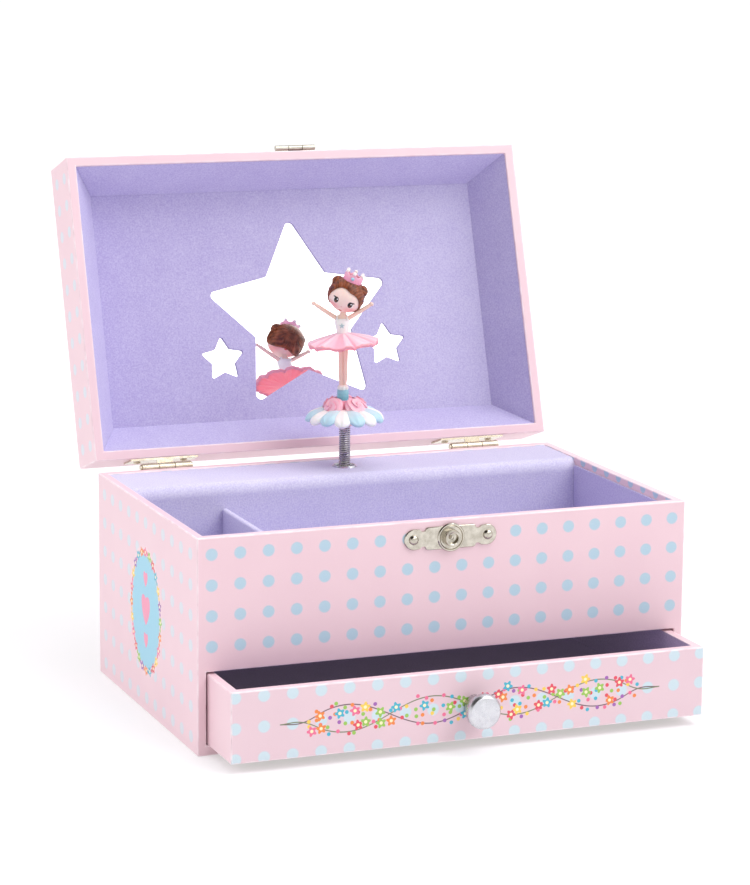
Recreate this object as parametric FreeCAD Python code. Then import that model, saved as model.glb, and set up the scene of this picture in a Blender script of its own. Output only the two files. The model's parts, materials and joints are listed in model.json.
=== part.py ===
import FreeCAD, Part
import math
import os

V = FreeCAD.Vector

# Case boards, in mm. X runs across the front, Y to the rear, Z up from the table.
CASE_W = 200.0
CASE_D = 128.0
CASE_H = 83.0
SIDE_T = 3.5
BOARD_T = 4.0
BASE_T = 4.0
TRAY_H = 51.0
DECK_T = 3.0
LINING_T = 1.0
RIM_STRIP = 3.0
X_OUT = CASE_W / 2
X_IN = X_OUT - SIDE_T
Y_FRONT = -CASE_D / 2
Y_REAR = CASE_D / 2
DECK_Z = CASE_H - TRAY_H
Y_TRAY = Y_FRONT + BOARD_T
Y_BACK = Y_REAR - BOARD_T
Z_TRAY = DECK_Z + DECK_T
Z_LINED = Z_TRAY + LINING_T

# Length that a cutting tool runs past a face, and how close a picked edge has to be
PAST = 1.0
NEAR = 0.01

# Tray divider and the flocked cover over the movement
DIVIDER_IN = 42.0
DIVIDER_T = 2.4
DIVIDER_X = -X_OUT + DIVIDER_IN
DIVIDER_TOP = CASE_H - 10.4
DIVIDER_ROUND = 1.1
COVER_D = 35.5
COVER_FRONT = Y_REAR - COVER_D
COVER_TOP = CASE_H - 0.5
COVER_T = 1.8
COVER_ROUND = 5.0

# Lid, built shut and then turned open about the hinge pins
LID_INSET = 2.0
LID_D = CASE_D - LID_INSET
LID_H = 25.0
LID_WALL = 4.0
LID_TOP_T = 3.0
LID_SEAM = 0.4
LID_OPEN_DEG = 108.0
LID_Z = CASE_H + LID_SEAM
LID_REAR = Y_FRONT + LID_D
LID_X_IN = X_OUT - LID_WALL
LID_Y_FRONT_IN = Y_FRONT + LID_WALL
LID_Y_REAR_IN = LID_REAR - LID_WALL
LID_LINING_T = 1.2
LID_LINING_START = 0.8
PANEL_DEPTH = 20.0
PANEL_T = 1.2
PANEL_X = LID_X_IN - 10.7
PANEL_S_REAR = 15.5
PANEL_S_FRONT = LID_D - 12.9
MIRROR_X = 56.0
MIRROR_S0 = 16.0
MIRROR_S1 = LID_D - 18.0
STAR_MID = LID_D / 2
STAR_TIP = 0.345 * LID_D
STAR_INNER = 0.527 * STAR_TIP
STARLET_TIP = 10.2
STARLET_INNER = 5.5
STAR_BIG = (2.3, STAR_MID - 4.8, STAR_TIP, STAR_INNER, 2.0)
STAR_LEFT = (-34.5, STAR_MID - 21.3, STARLET_TIP, STARLET_INNER, 1.0)
STAR_RIGHT = (39.0, STAR_MID - 18.6, STARLET_TIP, STARLET_INNER, 1.0)
STAR_BIG_ROUND = 2.2
STAR_SMALL_ROUND = 0.8

# Butt hinges at the rear
HINGE_X = (-X_OUT + 29.5, X_OUT - 33.8)
HINGE_Y = Y_REAR + 2.0
HINGE_Z = CASE_H + 0.2
KNUCKLE_R = 1.8
BARREL_L = 21.0
KNUCKLE_GAP = 0.2
LEAF_W = 28.6
LEAF_T = 0.8
LEAF_DROP = 13.0
LEAF_RISE = 12.0
LEAF_TOP_GAP = 0.3
LEAF_WEB_Z = 0.8
PIN_R = 0.8
PIN_HEAD_R = 1.2
PIN_HEAD_T = 0.6
RUN_FIT = 0.05
NAIL_R = 0.7
NAIL_HEAD_R = 1.5
NAIL_HEAD_T = 0.7
NAIL_L = 3.4
NAIL_DOME = 0.7
HINGE_NAIL_X = 10.0
HINGE_NAIL_AT = 0.6

# Clasp on the case front and hinged hasp on the lid
CLASP_X = 0.6
CLASP_Z = CASE_H - 6.9
CLASP_W = 37.8
CLASP_H = 9.1
CLASP_T = 0.8
CLASP_NOTCH_X = 12.2
CLASP_NOTCH_R = 0.7
CLASP_NAIL_X = 15.2
BEAD_R = 5.4
BEAD_IN_R = 4.5
BEAD_T = 0.2
POST_R = 3.2
POST_L = 3.4
POST_HOLE_R = 1.3
POST_HOLE_L = 2.4
HASP_X = 8.8
HASP_T = 0.7
HASP_AXIS_OUT = 1.6
HASP_AXIS_UP = 2.4
HASP_TOP = 12.5
HASP_KNUCKLE_R = 1.1
HASP_PIN_R = 0.5
HASP_MID = 3.0
TONGUE_T = 0.7
TONGUE_X = 5.6
TONGUE_TIP = 4.9
TONGUE_HOLE_R = 3.6
TONGUE_NECK = 1.6
TONGUE_TIP_ROUND = 3.9
HASP_NAIL_X = 7.3
HASP_NAIL_UP = 8.0
HASP_NAIL_SIZE = 0.65

# Drawer, built shut and then drawn out
DRAWER_OUT = 26.5
DRAWER_X = X_IN - 0.5
DRAWER_Z0 = BASE_T + 0.05
DRAWER_Z1 = DECK_Z - 0.8
DRAWER_FRONT_T = 4.0
DRAWER_SIDE_T = 3.6
DRAWER_BOTTOM_T = 3.0
DRAWER_L = CASE_D - 8.0
DRAWER_LINING_T = 0.8
KNOB_DROP = 0.425
KNOB_Z = (DRAWER_Z0 + DRAWER_Z1) / 2 - KNOB_DROP
KNOB_R = 6.7
KNOB_BASE_R = 4.2
KNOB_NECK_R = 2.9
KNOB_L = 11.0
KNOB_BASE_L = 1.4
KNOB_HEAD_L = 3.4
KNOB_BORE_L = 6.0
KNOB_ROUND = 1.2
SCREW_R = 1.5
SCREW_HEAD_R = 3.2
SCREW_HEAD_T = 1.6

# Dancer on her coil spring, with heights from the top of the cover
AXIS_Y = Y_REAR - 17.5
SPRING_R = 2.0
SPRING_WIRE = 0.8
SPRING_PITCH = 1.0
SPRING_TOP = 17.0
DANCER_YAW = -25.0
PETALS = 14
PETAL_TURN = 0.5
PETAL_R = 2.9
PETAL_ROOT_R = 2.2
PETAL_TIP_R = 1.4
PETAL_ROUND = 1.9
PETAL_IN = 5.0
PETAL_OUT = 16.4
PETAL_IN_Z = 23.5
PETAL_OUT_Z = 19.1
BASE_BOSS_R = 3.4
BASE_DISC_R = 12.0
BASE_DISC_Z = 19.7
BASE_TOP_Z = 24.0
BASE_DISC_T = 3.3
ROSES = 5
ROSE_RING = 6.1
ROSE_TURN = 0.25
ROSE_Z0 = 22.6
ROSE_PROFILE = ((2.3, 0.0), (3.1, 2.0), (2.7, 4.0), (1.3, 6.1))
ROSE_DISC_R = 5.6
ROSE_DISC_Z0 = 23.3
BAND_Z0 = 27.9
BAND_Z1 = 33.8
BAND_R = 2.4
LEG_R = 1.05
LEG_APART = 0.95
SET_IN = 1.0
LEG_TOP = 48.5
FIGURE_X = -0.8
TUTU_R = 15.4
TUTU_EDGE_Z = 51.7
TUTU_EDGE_T = 0.8
TUTU_UNDER_R = 5.0
TUTU_TOP_Z = 55.5
TUTU_TILT = -4.0
WAIST_R = 2.6
CHEST_R = 3.2
CHEST_Z = 59.1
SHOULDER_R = 1.7
SHOULDER_Z = 62.7
TORSO_X = -1.2
ARM_R = 0.95
ARM_POINTS = ((2.4, 61.1), (8.0, 63.2), (12.6, 67.7))
HAND_R = 1.3
HEAD_X = 0.5
HEAD_Z = 70.3
HEAD_R = 6.9
HAIR_R = 7.6
HAIR_BACK = 0.9
HAIR_UP = 0.8
BUN_R = 2.5
BUN_OUT = 8.2
BUN_DEG = 52.0
NECK_R = 1.4
HEAD_TILT = 22.0
CROWN_R = 4.3
CROWN_T = 0.8
CROWN_AT = 6.2
CROWN_H = 4.2
CROWN_TIPS = 6
CROWN_TIP_R = 0.8

# Musical movement behind the tray. Its arbor lies along X under the dancer.
ARBOR_DROP = 26.5
ARBOR_Z = COVER_TOP - ARBOR_DROP
ARBOR_R = 1.0
ARBOR_X0 = 0.4
ARBOR_X1 = 41.2
FRAME_FRONT = Y_BACK - 2.5
FRAME_X0 = -12.0
FRAME_X1 = 57.0
FRAME_Z0 = ARBOR_Z - 19.0
FRAME_Z1 = ARBOR_Z + 9.0
FRAME_EAR_X1 = 2.8
BRACKET_Z = ARBOR_Z + 16.5
BRACKET_T = 2.5
BRACKET_X0 = -7.0
BRACKET_X1 = 7.2
BRACKET_FRONT = AXIS_Y - 6.5
PLATE_FRONT = AXIS_Y - 13.0
PLATE_Z0 = ARBOR_Z - 16.0
PLATE_Z1 = ARBOR_Z + 4.5
LEFT_PLATE_X = (0.4, 1.8)
MID_PLATE_X = (13.0, 14.2)
POST_X = (39.6, 41.2)
POST_FRONT = AXIS_Y - 2.0
POST_Z0 = ARBOR_Z - 4.0
POST_Z1 = ARBOR_Z + 4.0
ARBOR_CLEAR_R = 2.0
TOOTH_ADD = 0.7
TOOTH_DED = 1.0
TOOTH_ROOT = 0.22
TOOTH_LAND = 0.11
MODULE = 0.8
FINE_MODULE = 0.5
SPINDLE_PINION_N = 16
SPINDLE_WHEEL_N = 20
SPINDLE_PINION_X = 6.8
SPINDLE_PINION_W = 2.4
SPINDLE_WHEEL_T = 2.2
SPINDLE_WHEEL_FACE = 2.4
SPINDLE_LEAD = 0.5
SPINDLE_R = 1.5
SPINDLE_HUB_R = 3.0
SPINDLE_SEAT_R = 2.4
SPINDLE_SEAT_T = 1.0
SPINDLE_STUB_R = 1.2
SPINDLE_STUB_L = 3.0
BARREL_PINION_N = 12
BARREL_WHEEL_N = 25
BARREL_PINION_X = 36.0
BARREL_FRONT = AXIS_Y - 14.0
BARREL_LEAD = 0.0
BARREL_R = 11.2
BARREL_WALL = 1.4
BARREL_FACE = 2.2
DRIVE_N = 36
DRIVE_X = 10.6
DRIVE_W = 1.4
GOV_PINION_N = 9
GOV_WHEEL_N = 30
GOV_PINION_X = 10.4
GOV_PINION_W = 1.8
GOV_WHEEL_X = 3.0
GOV_WHEEL_W = 1.5
GOV_R = 0.8
FAN_PINION_N = 10
FAN_PINION_X = 2.9
FAN_PINION_W = 1.7
FAN_R = 0.7
FAN_HUB_R = 1.6
FAN_X0 = 6.0
FAN_X1 = 12.0
FAN_BLADE_R = 4.5
FAN_BLADE_T = 0.5
DRUM_R = 6.5
DRUM_X0 = 15.4
DRUM_X1 = 34.4
DRUM_PIN_R = 0.2
DRUM_PIN_H = 0.5
DRUM_PIN_ROOT = 1.0
NOTES = 18
PINS_PER_NOTE = 3
PIN_STEP_DEG = 137.5
COMB_T = 1.2
COMB_X0 = 15.9
COMB_PITCH = 1.0
COMB_SLOT = 0.3
COMB_Z0 = ARBOR_Z - 18.5
COMB_ROOT_Z = ARBOR_Z - 14.5
COMB_TIP_Z = ARBOR_Z - 7.5
COMB_BLOCK_Z1 = ARBOR_Z - 14.0
WIND_R = 2.0
WIND_FRONT = AXIS_Y - 14.9
WIND_END = Y_REAR + 12.0
WIND_BOSS_R = 3.6
WIND_BOSS_FRONT = AXIS_Y + 3.5
WIND_HOLE_R = 5.0
KEY_Y = Y_REAR + 2.0
KEY_HUB_R = 3.8
KEY_HUB_END = Y_REAR + 13.0
KEY_WING_X = 6.2
KEY_WING_R = 6.4
KEY_WING_Y = Y_REAR + 18.0
KEY_WING_T = 2.0
KEY_HOLE_R = 3.0
FIX_LOW = ARBOR_Z - 15.0
FIX_HIGH = ARBOR_Z + 6.0
FIX_SCREWS = ((-9.0, FIX_LOW), (-9.0, FIX_HIGH), (26.0, FIX_HIGH), (54.0, FIX_LOW))
FIX_R = 1.2
FIX_HEAD_R = 2.4
FIX_HEAD_T = 1.2
GROMMET_R = 6.0
GROMMET_TUBE_R = 4.6
GROMMET_BORE_R = 4.0
GROMMET_T = 0.6
GROMMET_CURL_R = 5.4
STOP_X = 4.6
STOP_Y = Y_REAR - 5.8
STOP_R = 1.0
STOP_TOP = CASE_H + 3.9
STOP_FOOT_Z = ARBOR_Z + 13.3
STOP_FOOT_T = 2.0
STOP_FOOT_Y = AXIS_Y + 5.5
STOP_CLEAR = 0.1


def box(x0, x1, y0, y1, z0, z1):
    return Part.makeBox(x1 - x0, y1 - y0, z1 - z0, V(x0, y0, z0))


def rod(radius, start, end):
    a = V(*start)
    run = V(*end) - a
    return Part.makeCylinder(radius, run.Length, a, run)


def ball(radius, centre):
    return Part.makeSphere(radius, V(*centre))


def join(shapes):
    return shapes[0].multiFuse(list(shapes[1:])).removeSplitter()


def group(shapes):
    return Part.makeCompound(list(shapes))


def prism(points, run):
    corners = [V(*p) for p in points]
    corners.append(corners[0])
    return Part.Face(Part.makePolygon(corners)).extrude(V(*run))


def hexa(low, high):
    low = [V(*p) for p in low]
    high = [V(*p) for p in high]
    sides = [low, high]
    for i in range(4):
        j = (i + 1) % 4
        sides.append([low[i], low[j], high[j], high[i]])
    faces = [Part.Face(Part.makePolygon(s + [s[0]])) for s in sides]
    solid = Part.Solid(Part.Shell(faces))
    if solid.Volume < 0:
        solid.reverse()
    return solid


def turned(profile, base, axis):
    points = [(0, profile[0][1])] + list(profile) + [(0, profile[-1][1])]
    corners = [V(r, 0, h) for r, h in points + points[:1]]
    solid = Part.Face(Part.makePolygon(corners)).revolve(V(0, 0, 0), V(0, 0, 1), 360)
    solid.rotate(V(0, 0, 0), V(0, 1, 0), math.degrees(V(0, 0, 1).getAngle(V(*axis))))
    solid.rotate(V(0, 0, 0), V(0, 0, 1), math.degrees(math.atan2(axis[1], axis[0])))
    solid.translate(V(*base))
    return solid


def save(name, shape):
    shape.exportStep("parts/" + name + ".step")


# Gears have thin straight-sided teeth with room to run.
def spur(teeth, module, x, width, y, z, phase):
    step = 2 * math.pi / teeth
    r = module * teeth / 2
    tip = r + TOOTH_ADD * module
    root = r - TOOTH_DED * module
    points = []
    for i in range(teeth):
        a = phase + i * step
        for radius, part in (
            (root, -TOOTH_ROOT), (tip, -TOOTH_LAND), (tip, TOOTH_LAND), (root, TOOTH_ROOT)
        ):
            t = a + part * step
            points.append((x, y + radius * math.cos(t), z + radius * math.sin(t)))
    return prism(points, (width, 0, 0))


def crown_tooth(module, r, face):
    pitch = math.pi * module
    foot = TOOTH_DED * module
    tip = TOOTH_ADD * module
    profile = []
    for across, up in (
        (-TOOTH_ROOT, -foot), (-TOOTH_LAND, tip), (TOOTH_LAND, tip), (TOOTH_ROOT, -foot)
    ):
        profile.append((r - face / 2, across * pitch, up))
    return prism(profile, (face, 0, 0))


def crown_teeth(teeth, module, face, lead):
    r = module * teeth / 2
    step = 360.0 / teeth
    tooth = crown_tooth(module, r, face)
    ring = []
    for i in range(teeth):
        one = tooth.copy()
        one.rotate(V(0, 0, 0), V(0, 0, 1), (i + lead) * step)
        ring.append(one)
    return ring


def star(x, s, tip, inner, turn, rounding):
    y = LID_REAR - s
    z = LID_Z + PANEL_DEPTH - PAST
    points = []
    for i in range(10):
        a = math.radians(90 + turn + 36 * i)
        r = tip if i % 2 == 0 else inner
        points.append((x + r * math.cos(a), y - r * math.sin(a), z))
    cutter = prism(points, (0, 0, PANEL_T + 2 * PAST))
    edges = []
    for e in cutter.Edges:
        middle = e.CenterOfMass
        upright = abs(e.Vertexes[0].Z - e.Vertexes[-1].Z) > PANEL_T
        if upright and math.hypot(middle.x - x, middle.y - y) > (tip + inner) / 2:
            edges.append(e)
    return cutter.makeFillet(rounding, edges)


def nail(x, y, z, out, size=1.0):
    top = y + out * size * NAIL_HEAD_T
    shank = rod(size * NAIL_R, (x, y, z), (x, y - out * size * NAIL_L, z))
    head = rod(size * NAIL_HEAD_R, (x, y, z), (x, top, z))
    rim = [e for e in head.Edges if abs(e.CenterOfMass.y - top) < NEAR]
    dome = head.makeFillet(size * NAIL_HEAD_T * NAIL_DOME, rim[:1])
    return shank.fuse(dome).removeSplitter()


def open_lid(shape):
    done = shape.copy()
    done.rotate(V(0, HINGE_Y, HINGE_Z), V(1, 0, 0), -LID_OPEN_DEG)
    return done


def draw_out(shape):
    done = shape.copy()
    done.translate(V(0, -DRAWER_OUT, 0))
    return done


def place_figure(shape):
    done = shape.copy()
    done.rotate(V(0, 0, 0), V(0, 0, 1), DANCER_YAW)
    done.translate(V(0, AXIS_Y, COVER_TOP))
    return done


os.makedirs("parts", exist_ok=True)

# Case panels
base_panel = box(-X_OUT, X_OUT, Y_FRONT, Y_REAR, 0, BASE_T)
left_side_panel = box(-X_OUT, -X_IN, Y_FRONT, Y_REAR, BASE_T, CASE_H)
right_side_panel = box(X_IN, X_OUT, Y_FRONT, Y_REAR, BASE_T, CASE_H)
rear_panel = box(-X_IN, X_IN, Y_BACK, Y_REAR, BASE_T, CASE_H)
front_panel = box(-X_IN, X_IN, Y_FRONT, Y_TRAY, DECK_Z, CASE_H)
tray_deck = box(-X_IN, X_IN, Y_TRAY, Y_BACK, DECK_Z, Z_TRAY)

# Tray linings, divider and the cover over the movement
lining_top = CASE_H - RIM_STRIP
tray_floor_lining = box(-X_IN, X_IN, Y_TRAY, COVER_FRONT, Z_TRAY, Z_LINED)
lining_out = box(-X_IN, X_IN, Y_TRAY, COVER_FRONT, Z_LINED, lining_top)
lined_front = Y_TRAY + LINING_T
lining_in = box(-X_IN + LINING_T, X_IN - LINING_T, lined_front, COVER_FRONT, Z_LINED, lining_top)
tray_wall_lining = lining_out.cut(lining_in)
divider_x0 = DIVIDER_X - DIVIDER_T / 2
divider_x1 = DIVIDER_X + DIVIDER_T / 2
divider = box(divider_x0, divider_x1, lined_front, COVER_FRONT, Z_LINED, DIVIDER_TOP)
ridge = []
for e in divider.Edges:
    middle = e.CenterOfMass
    if abs(middle.z - DIVIDER_TOP) < NEAR and abs(middle.x - DIVIDER_X) > NEAR:
        ridge.append(e)
tray_divider = divider.makeFillet(DIVIDER_ROUND, ridge)
cover_out = box(-X_IN, X_IN, COVER_FRONT, Y_BACK, Z_TRAY, COVER_TOP)
cover_in = box(-X_IN, X_IN, COVER_FRONT + COVER_T, Y_BACK, Z_TRAY, COVER_TOP - COVER_T)


def round_brow(shape, y, z, radius):
    brow = []
    for e in shape.Edges:
        middle = e.CenterOfMass
        if abs(middle.y - y) < NEAR and abs(middle.z - z) < NEAR:
            brow.append(e)
    return shape.makeFillet(radius, brow)


cover_out = round_brow(cover_out, COVER_FRONT, COVER_TOP, COVER_ROUND)
cover_in = round_brow(cover_in, COVER_FRONT + COVER_T, COVER_TOP - COVER_T, COVER_ROUND - COVER_T)
movement_cover = cover_out.cut(cover_in)


def upright(radius, z0, z1, x=0, y=AXIS_Y):
    return rod(radius, (x, y, z0), (x, y, z1))


cover_under = COVER_TOP - COVER_T
grommet_z0 = cover_under - GROMMET_T
grommet_z1 = COVER_TOP + GROMMET_T
movement_cover = movement_cover.cut(upright(GROMMET_TUBE_R, cover_under - PAST, COVER_TOP + PAST))
movement_cover = movement_cover.cut(
    upright(STOP_R + STOP_CLEAR, cover_under - PAST, COVER_TOP + PAST, STOP_X, STOP_Y)
)
spindle_grommet = join([
    upright(GROMMET_TUBE_R, grommet_z0, grommet_z1),
    upright(GROMMET_R, COVER_TOP, grommet_z1),
    upright(GROMMET_CURL_R, grommet_z0, cover_under),
])
spindle_grommet = spindle_grommet.cut(upright(GROMMET_BORE_R, grommet_z0 - PAST, grommet_z1 + PAST))

# Clasp plate with its catch post, and two nails
clasp_y = Y_FRONT - CLASP_T
clasp_half = CLASP_W / 2 - CLASP_H / 2
clasp_z0 = CLASP_Z - CLASP_H / 2
clasp_z1 = CLASP_Z + CLASP_H / 2
plate = [box(CLASP_X - clasp_half, CLASP_X + clasp_half, clasp_y, Y_FRONT, clasp_z0, clasp_z1)]
for side in (-1, 1):
    end_x = CLASP_X + side * clasp_half
    plate.append(rod(CLASP_H / 2, (end_x, clasp_y, CLASP_Z), (end_x, Y_FRONT, CLASP_Z)))
plate = join(plate)
for side in (-1, 1):
    for z in (clasp_z0, clasp_z1):
        notch_x = CLASP_X + side * CLASP_NOTCH_X
        plate = plate.cut(rod(CLASP_NOTCH_R, (notch_x, clasp_y - PAST, z), (notch_x, Y_FRONT + PAST, z)))
bead = rod(BEAD_R, (CLASP_X, clasp_y - BEAD_T, CLASP_Z), (CLASP_X, Y_FRONT, CLASP_Z))
bead = bead.cut(rod(BEAD_IN_R, (CLASP_X, clasp_y - PAST, CLASP_Z), (CLASP_X, clasp_y, CLASP_Z)))
post = rod(POST_R, (CLASP_X, clasp_y - POST_L, CLASP_Z), (CLASP_X, clasp_y, CLASP_Z))
post_hole = rod(
    POST_HOLE_R, (CLASP_X, clasp_y - POST_L, CLASP_Z), (CLASP_X, clasp_y - POST_L + POST_HOLE_L, CLASP_Z)
)
clasp_nails = [nail(CLASP_X + side * CLASP_NAIL_X, clasp_y, CLASP_Z, -1) for side in (-1, 1)]
clasp_plate = join([plate, bead, post]).cut(post_hole)
for one in clasp_nails:
    clasp_plate = clasp_plate.cut(one)
    front_panel = front_panel.cut(one)

# Hinge leaves, pins and nails
third = BARREL_L / 3
case_leaves = []
lid_leaves = []
hinge_pins = []
case_nails = []
lid_nails = []


def knuckle(radius, x0, x1):
    return rod(radius, (x0, HINGE_Y, HINGE_Z), (x1, HINGE_Y, HINGE_Z))


for hx in HINGE_X:
    leaf_x0 = hx - LEAF_W / 2
    leaf_x1 = hx + LEAF_W / 2
    end_x0 = hx - BARREL_L / 2
    end_x1 = hx + BARREL_L / 2
    mid0 = hx - third / 2 + KNUCKLE_GAP
    mid1 = hx + third / 2 - KNUCKLE_GAP
    web_z = HINGE_Z + LEAF_WEB_Z
    pin = join([
        knuckle(PIN_R, end_x0, end_x1),
        knuckle(PIN_HEAD_R, end_x0 - PIN_HEAD_T, end_x0),
        knuckle(PIN_HEAD_R, end_x1, end_x1 + PIN_HEAD_T),
    ])
    leaf_z0 = HINGE_Z - LEAF_DROP
    low_leaf = join([
        box(leaf_x0, leaf_x1, Y_REAR, Y_REAR + LEAF_T, leaf_z0, CASE_H - LEAF_TOP_GAP),
        knuckle(KNUCKLE_R, end_x0, end_x0 + third),
        knuckle(KNUCKLE_R, end_x1 - third, end_x1),
    ])
    low_leaf = low_leaf.cut(pin)
    low_leaf = low_leaf.cut(knuckle(KNUCKLE_R + KNUCKLE_GAP, hx - third / 2, hx + third / 2))
    high_leaf = join([
        box(leaf_x0, leaf_x1, LID_REAR, LID_REAR + LEAF_T, web_z, HINGE_Z + LEAF_RISE),
        box(mid0, mid1, LID_REAR, HINGE_Y, web_z, web_z + LEAF_T),
        knuckle(KNUCKLE_R, mid0, mid1),
    ])
    high_leaf = high_leaf.cut(knuckle(PIN_R + RUN_FIT, mid0, mid1))
    for side in (-1, 1):
        nail_x = hx + side * HINGE_NAIL_X
        low_nail = nail(nail_x, Y_REAR + LEAF_T, HINGE_Z - LEAF_DROP * HINGE_NAIL_AT, 1)
        high_nail = nail(nail_x, LID_REAR + LEAF_T, HINGE_Z + LEAF_RISE * HINGE_NAIL_AT, 1)
        low_leaf = low_leaf.cut(low_nail)
        high_leaf = high_leaf.cut(high_nail)
        rear_panel = rear_panel.cut(low_nail)
        case_nails.append(low_nail)
        lid_nails.append(high_nail)
    case_leaves.append(low_leaf)
    lid_leaves.append(high_leaf)
    hinge_pins.append(pin)

# Lid boards
lid_top_z = LID_Z + LID_H
lid_roof_z = lid_top_z - LID_TOP_T
lid_top_panel = box(-X_OUT, X_OUT, Y_FRONT, LID_REAR, lid_roof_z, lid_top_z)
lid_left_wall = box(-X_OUT, -LID_X_IN, Y_FRONT, LID_REAR, LID_Z, lid_roof_z)
lid_right_wall = box(LID_X_IN, X_OUT, Y_FRONT, LID_REAR, LID_Z, lid_roof_z)
lid_front_wall = box(-LID_X_IN, LID_X_IN, Y_FRONT, LID_Y_FRONT_IN, LID_Z, lid_roof_z)
lid_rear_wall = box(-LID_X_IN, LID_X_IN, LID_Y_REAR_IN, LID_REAR, LID_Z, lid_roof_z)
for one in lid_nails:
    lid_rear_wall = lid_rear_wall.cut(one)

# Sloping linings, the star panel and the mirror behind it
panel_z = LID_Z + PANEL_DEPTH
start_z = LID_Z + LID_LINING_START
panel_front = LID_REAR - PANEL_S_FRONT
panel_rear = LID_REAR - PANEL_S_REAR
slope_h = panel_z - start_z


def skew(run):
    return LID_LINING_T * math.hypot(run, slope_h) / slope_h


skew_x = skew(LID_X_IN - PANEL_X)
skew_f = skew(panel_front - LID_Y_FRONT_IN)
skew_r = skew(LID_Y_REAR_IN - panel_rear)


def ring_corners(x, front, rear, z):
    return ((-x, front, z), (x, front, z), (x, rear, z), (-x, rear, z))


in_low = ring_corners(LID_X_IN, LID_Y_FRONT_IN, LID_Y_REAR_IN, start_z)
in_high = ring_corners(PANEL_X, panel_front, panel_rear, panel_z)
out_low = ring_corners(LID_X_IN + skew_x, LID_Y_FRONT_IN - skew_f, LID_Y_REAR_IN + skew_r, start_z)
out_high = ring_corners(PANEL_X + skew_x, panel_front - skew_f, panel_rear + skew_r, panel_z)
lid_hollow = box(-LID_X_IN, LID_X_IN, LID_Y_FRONT_IN, LID_Y_REAR_IN, LID_Z, panel_z)
lid_linings = {}
for i, name in enumerate(("front", "right", "rear", "left")):
    j = (i + 1) % 4
    board = hexa(
        (in_low[i], in_low[j], in_high[j], in_high[i]),
        (out_low[i], out_low[j], out_high[j], out_high[i]),
    )
    lid_linings[name] = board.common(lid_hollow)
star_panel = box(-LID_X_IN, LID_X_IN, LID_Y_FRONT_IN, LID_Y_REAR_IN, panel_z, panel_z + PANEL_T)
star_panel = star_panel.cut(star(*STAR_BIG, STAR_BIG_ROUND))
star_panel = star_panel.cut(star(*STAR_LEFT, STAR_SMALL_ROUND))
star_panel = star_panel.cut(star(*STAR_RIGHT, STAR_SMALL_ROUND))
mirror_y0 = LID_REAR - MIRROR_S1
mirror_y1 = LID_REAR - MIRROR_S0
mirror = box(-MIRROR_X, MIRROR_X, mirror_y0, mirror_y1, panel_z + PANEL_T, lid_roof_z)

# Hasp: a fixed plate on the lid and a tongue that folds back over it
hasp_y = Y_FRONT - HASP_AXIS_OUT
hasp_z = CASE_H + HASP_AXIS_UP
hasp_parts = [box(-HASP_X, HASP_X, Y_FRONT - HASP_T, Y_FRONT, hasp_z, hasp_z + HASP_TOP)]
for x0, x1 in ((-HASP_X, -HASP_MID - KNUCKLE_GAP), (HASP_MID + KNUCKLE_GAP, HASP_X)):
    hasp_parts.append(rod(HASP_KNUCKLE_R, (x0, hasp_y, hasp_z), (x1, hasp_y, hasp_z)))
hasp_plate = join(hasp_parts)
hasp_plate = hasp_plate.cut(rod(HASP_PIN_R + RUN_FIT, (-HASP_X, hasp_y, hasp_z), (HASP_X, hasp_y, hasp_z)))
hasp_room = HASP_MID + KNUCKLE_GAP
hasp_plate = hasp_plate.cut(
    rod(HASP_KNUCKLE_R + KNUCKLE_GAP, (-hasp_room, hasp_y, hasp_z), (hasp_room, hasp_y, hasp_z))
)
hasp_plate.translate(V(CLASP_X, 0, 0))
hasp_nails = []
for side in (-1, 1):
    nail_x = CLASP_X + side * HASP_NAIL_X
    one = nail(nail_x, Y_FRONT - HASP_T, hasp_z + HASP_NAIL_UP, -1, HASP_NAIL_SIZE)
    hasp_plate = hasp_plate.cut(one)
    lid_front_wall = lid_front_wall.cut(one)
    hasp_nails.append(one)
reach = hasp_z - CLASP_Z
tongue_end = hasp_z + reach + TONGUE_TIP
tongue_y0 = hasp_y - TONGUE_T / 2
tongue_y1 = hasp_y + TONGUE_T / 2
blade = box(-TONGUE_X, TONGUE_X, tongue_y0, tongue_y1, hasp_z + TONGUE_NECK, tongue_end)
blade_ends = []
for e in blade.Edges:
    middle = e.CenterOfMass
    if abs(middle.z - tongue_end) < NEAR and abs(abs(middle.x) - TONGUE_X) < NEAR:
        blade_ends.append(e)
blade = blade.makeFillet(TONGUE_TIP_ROUND, blade_ends)
hasp_tongue = join([
    blade,
    box(-HASP_MID, HASP_MID, tongue_y0, tongue_y1, hasp_z, hasp_z + TONGUE_NECK + PAST),
    rod(HASP_KNUCKLE_R, (-HASP_MID, hasp_y, hasp_z), (HASP_MID, hasp_y, hasp_z)),
    rod(HASP_PIN_R, (-HASP_X, hasp_y, hasp_z), (HASP_X, hasp_y, hasp_z)),
])
hasp_tongue = hasp_tongue.cut(
    rod(TONGUE_HOLE_R, (0, tongue_y0 - PAST, hasp_z + reach), (0, tongue_y1 + PAST, hasp_z + reach))
)
hasp_tongue.translate(V(CLASP_X, 0, 0))

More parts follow.
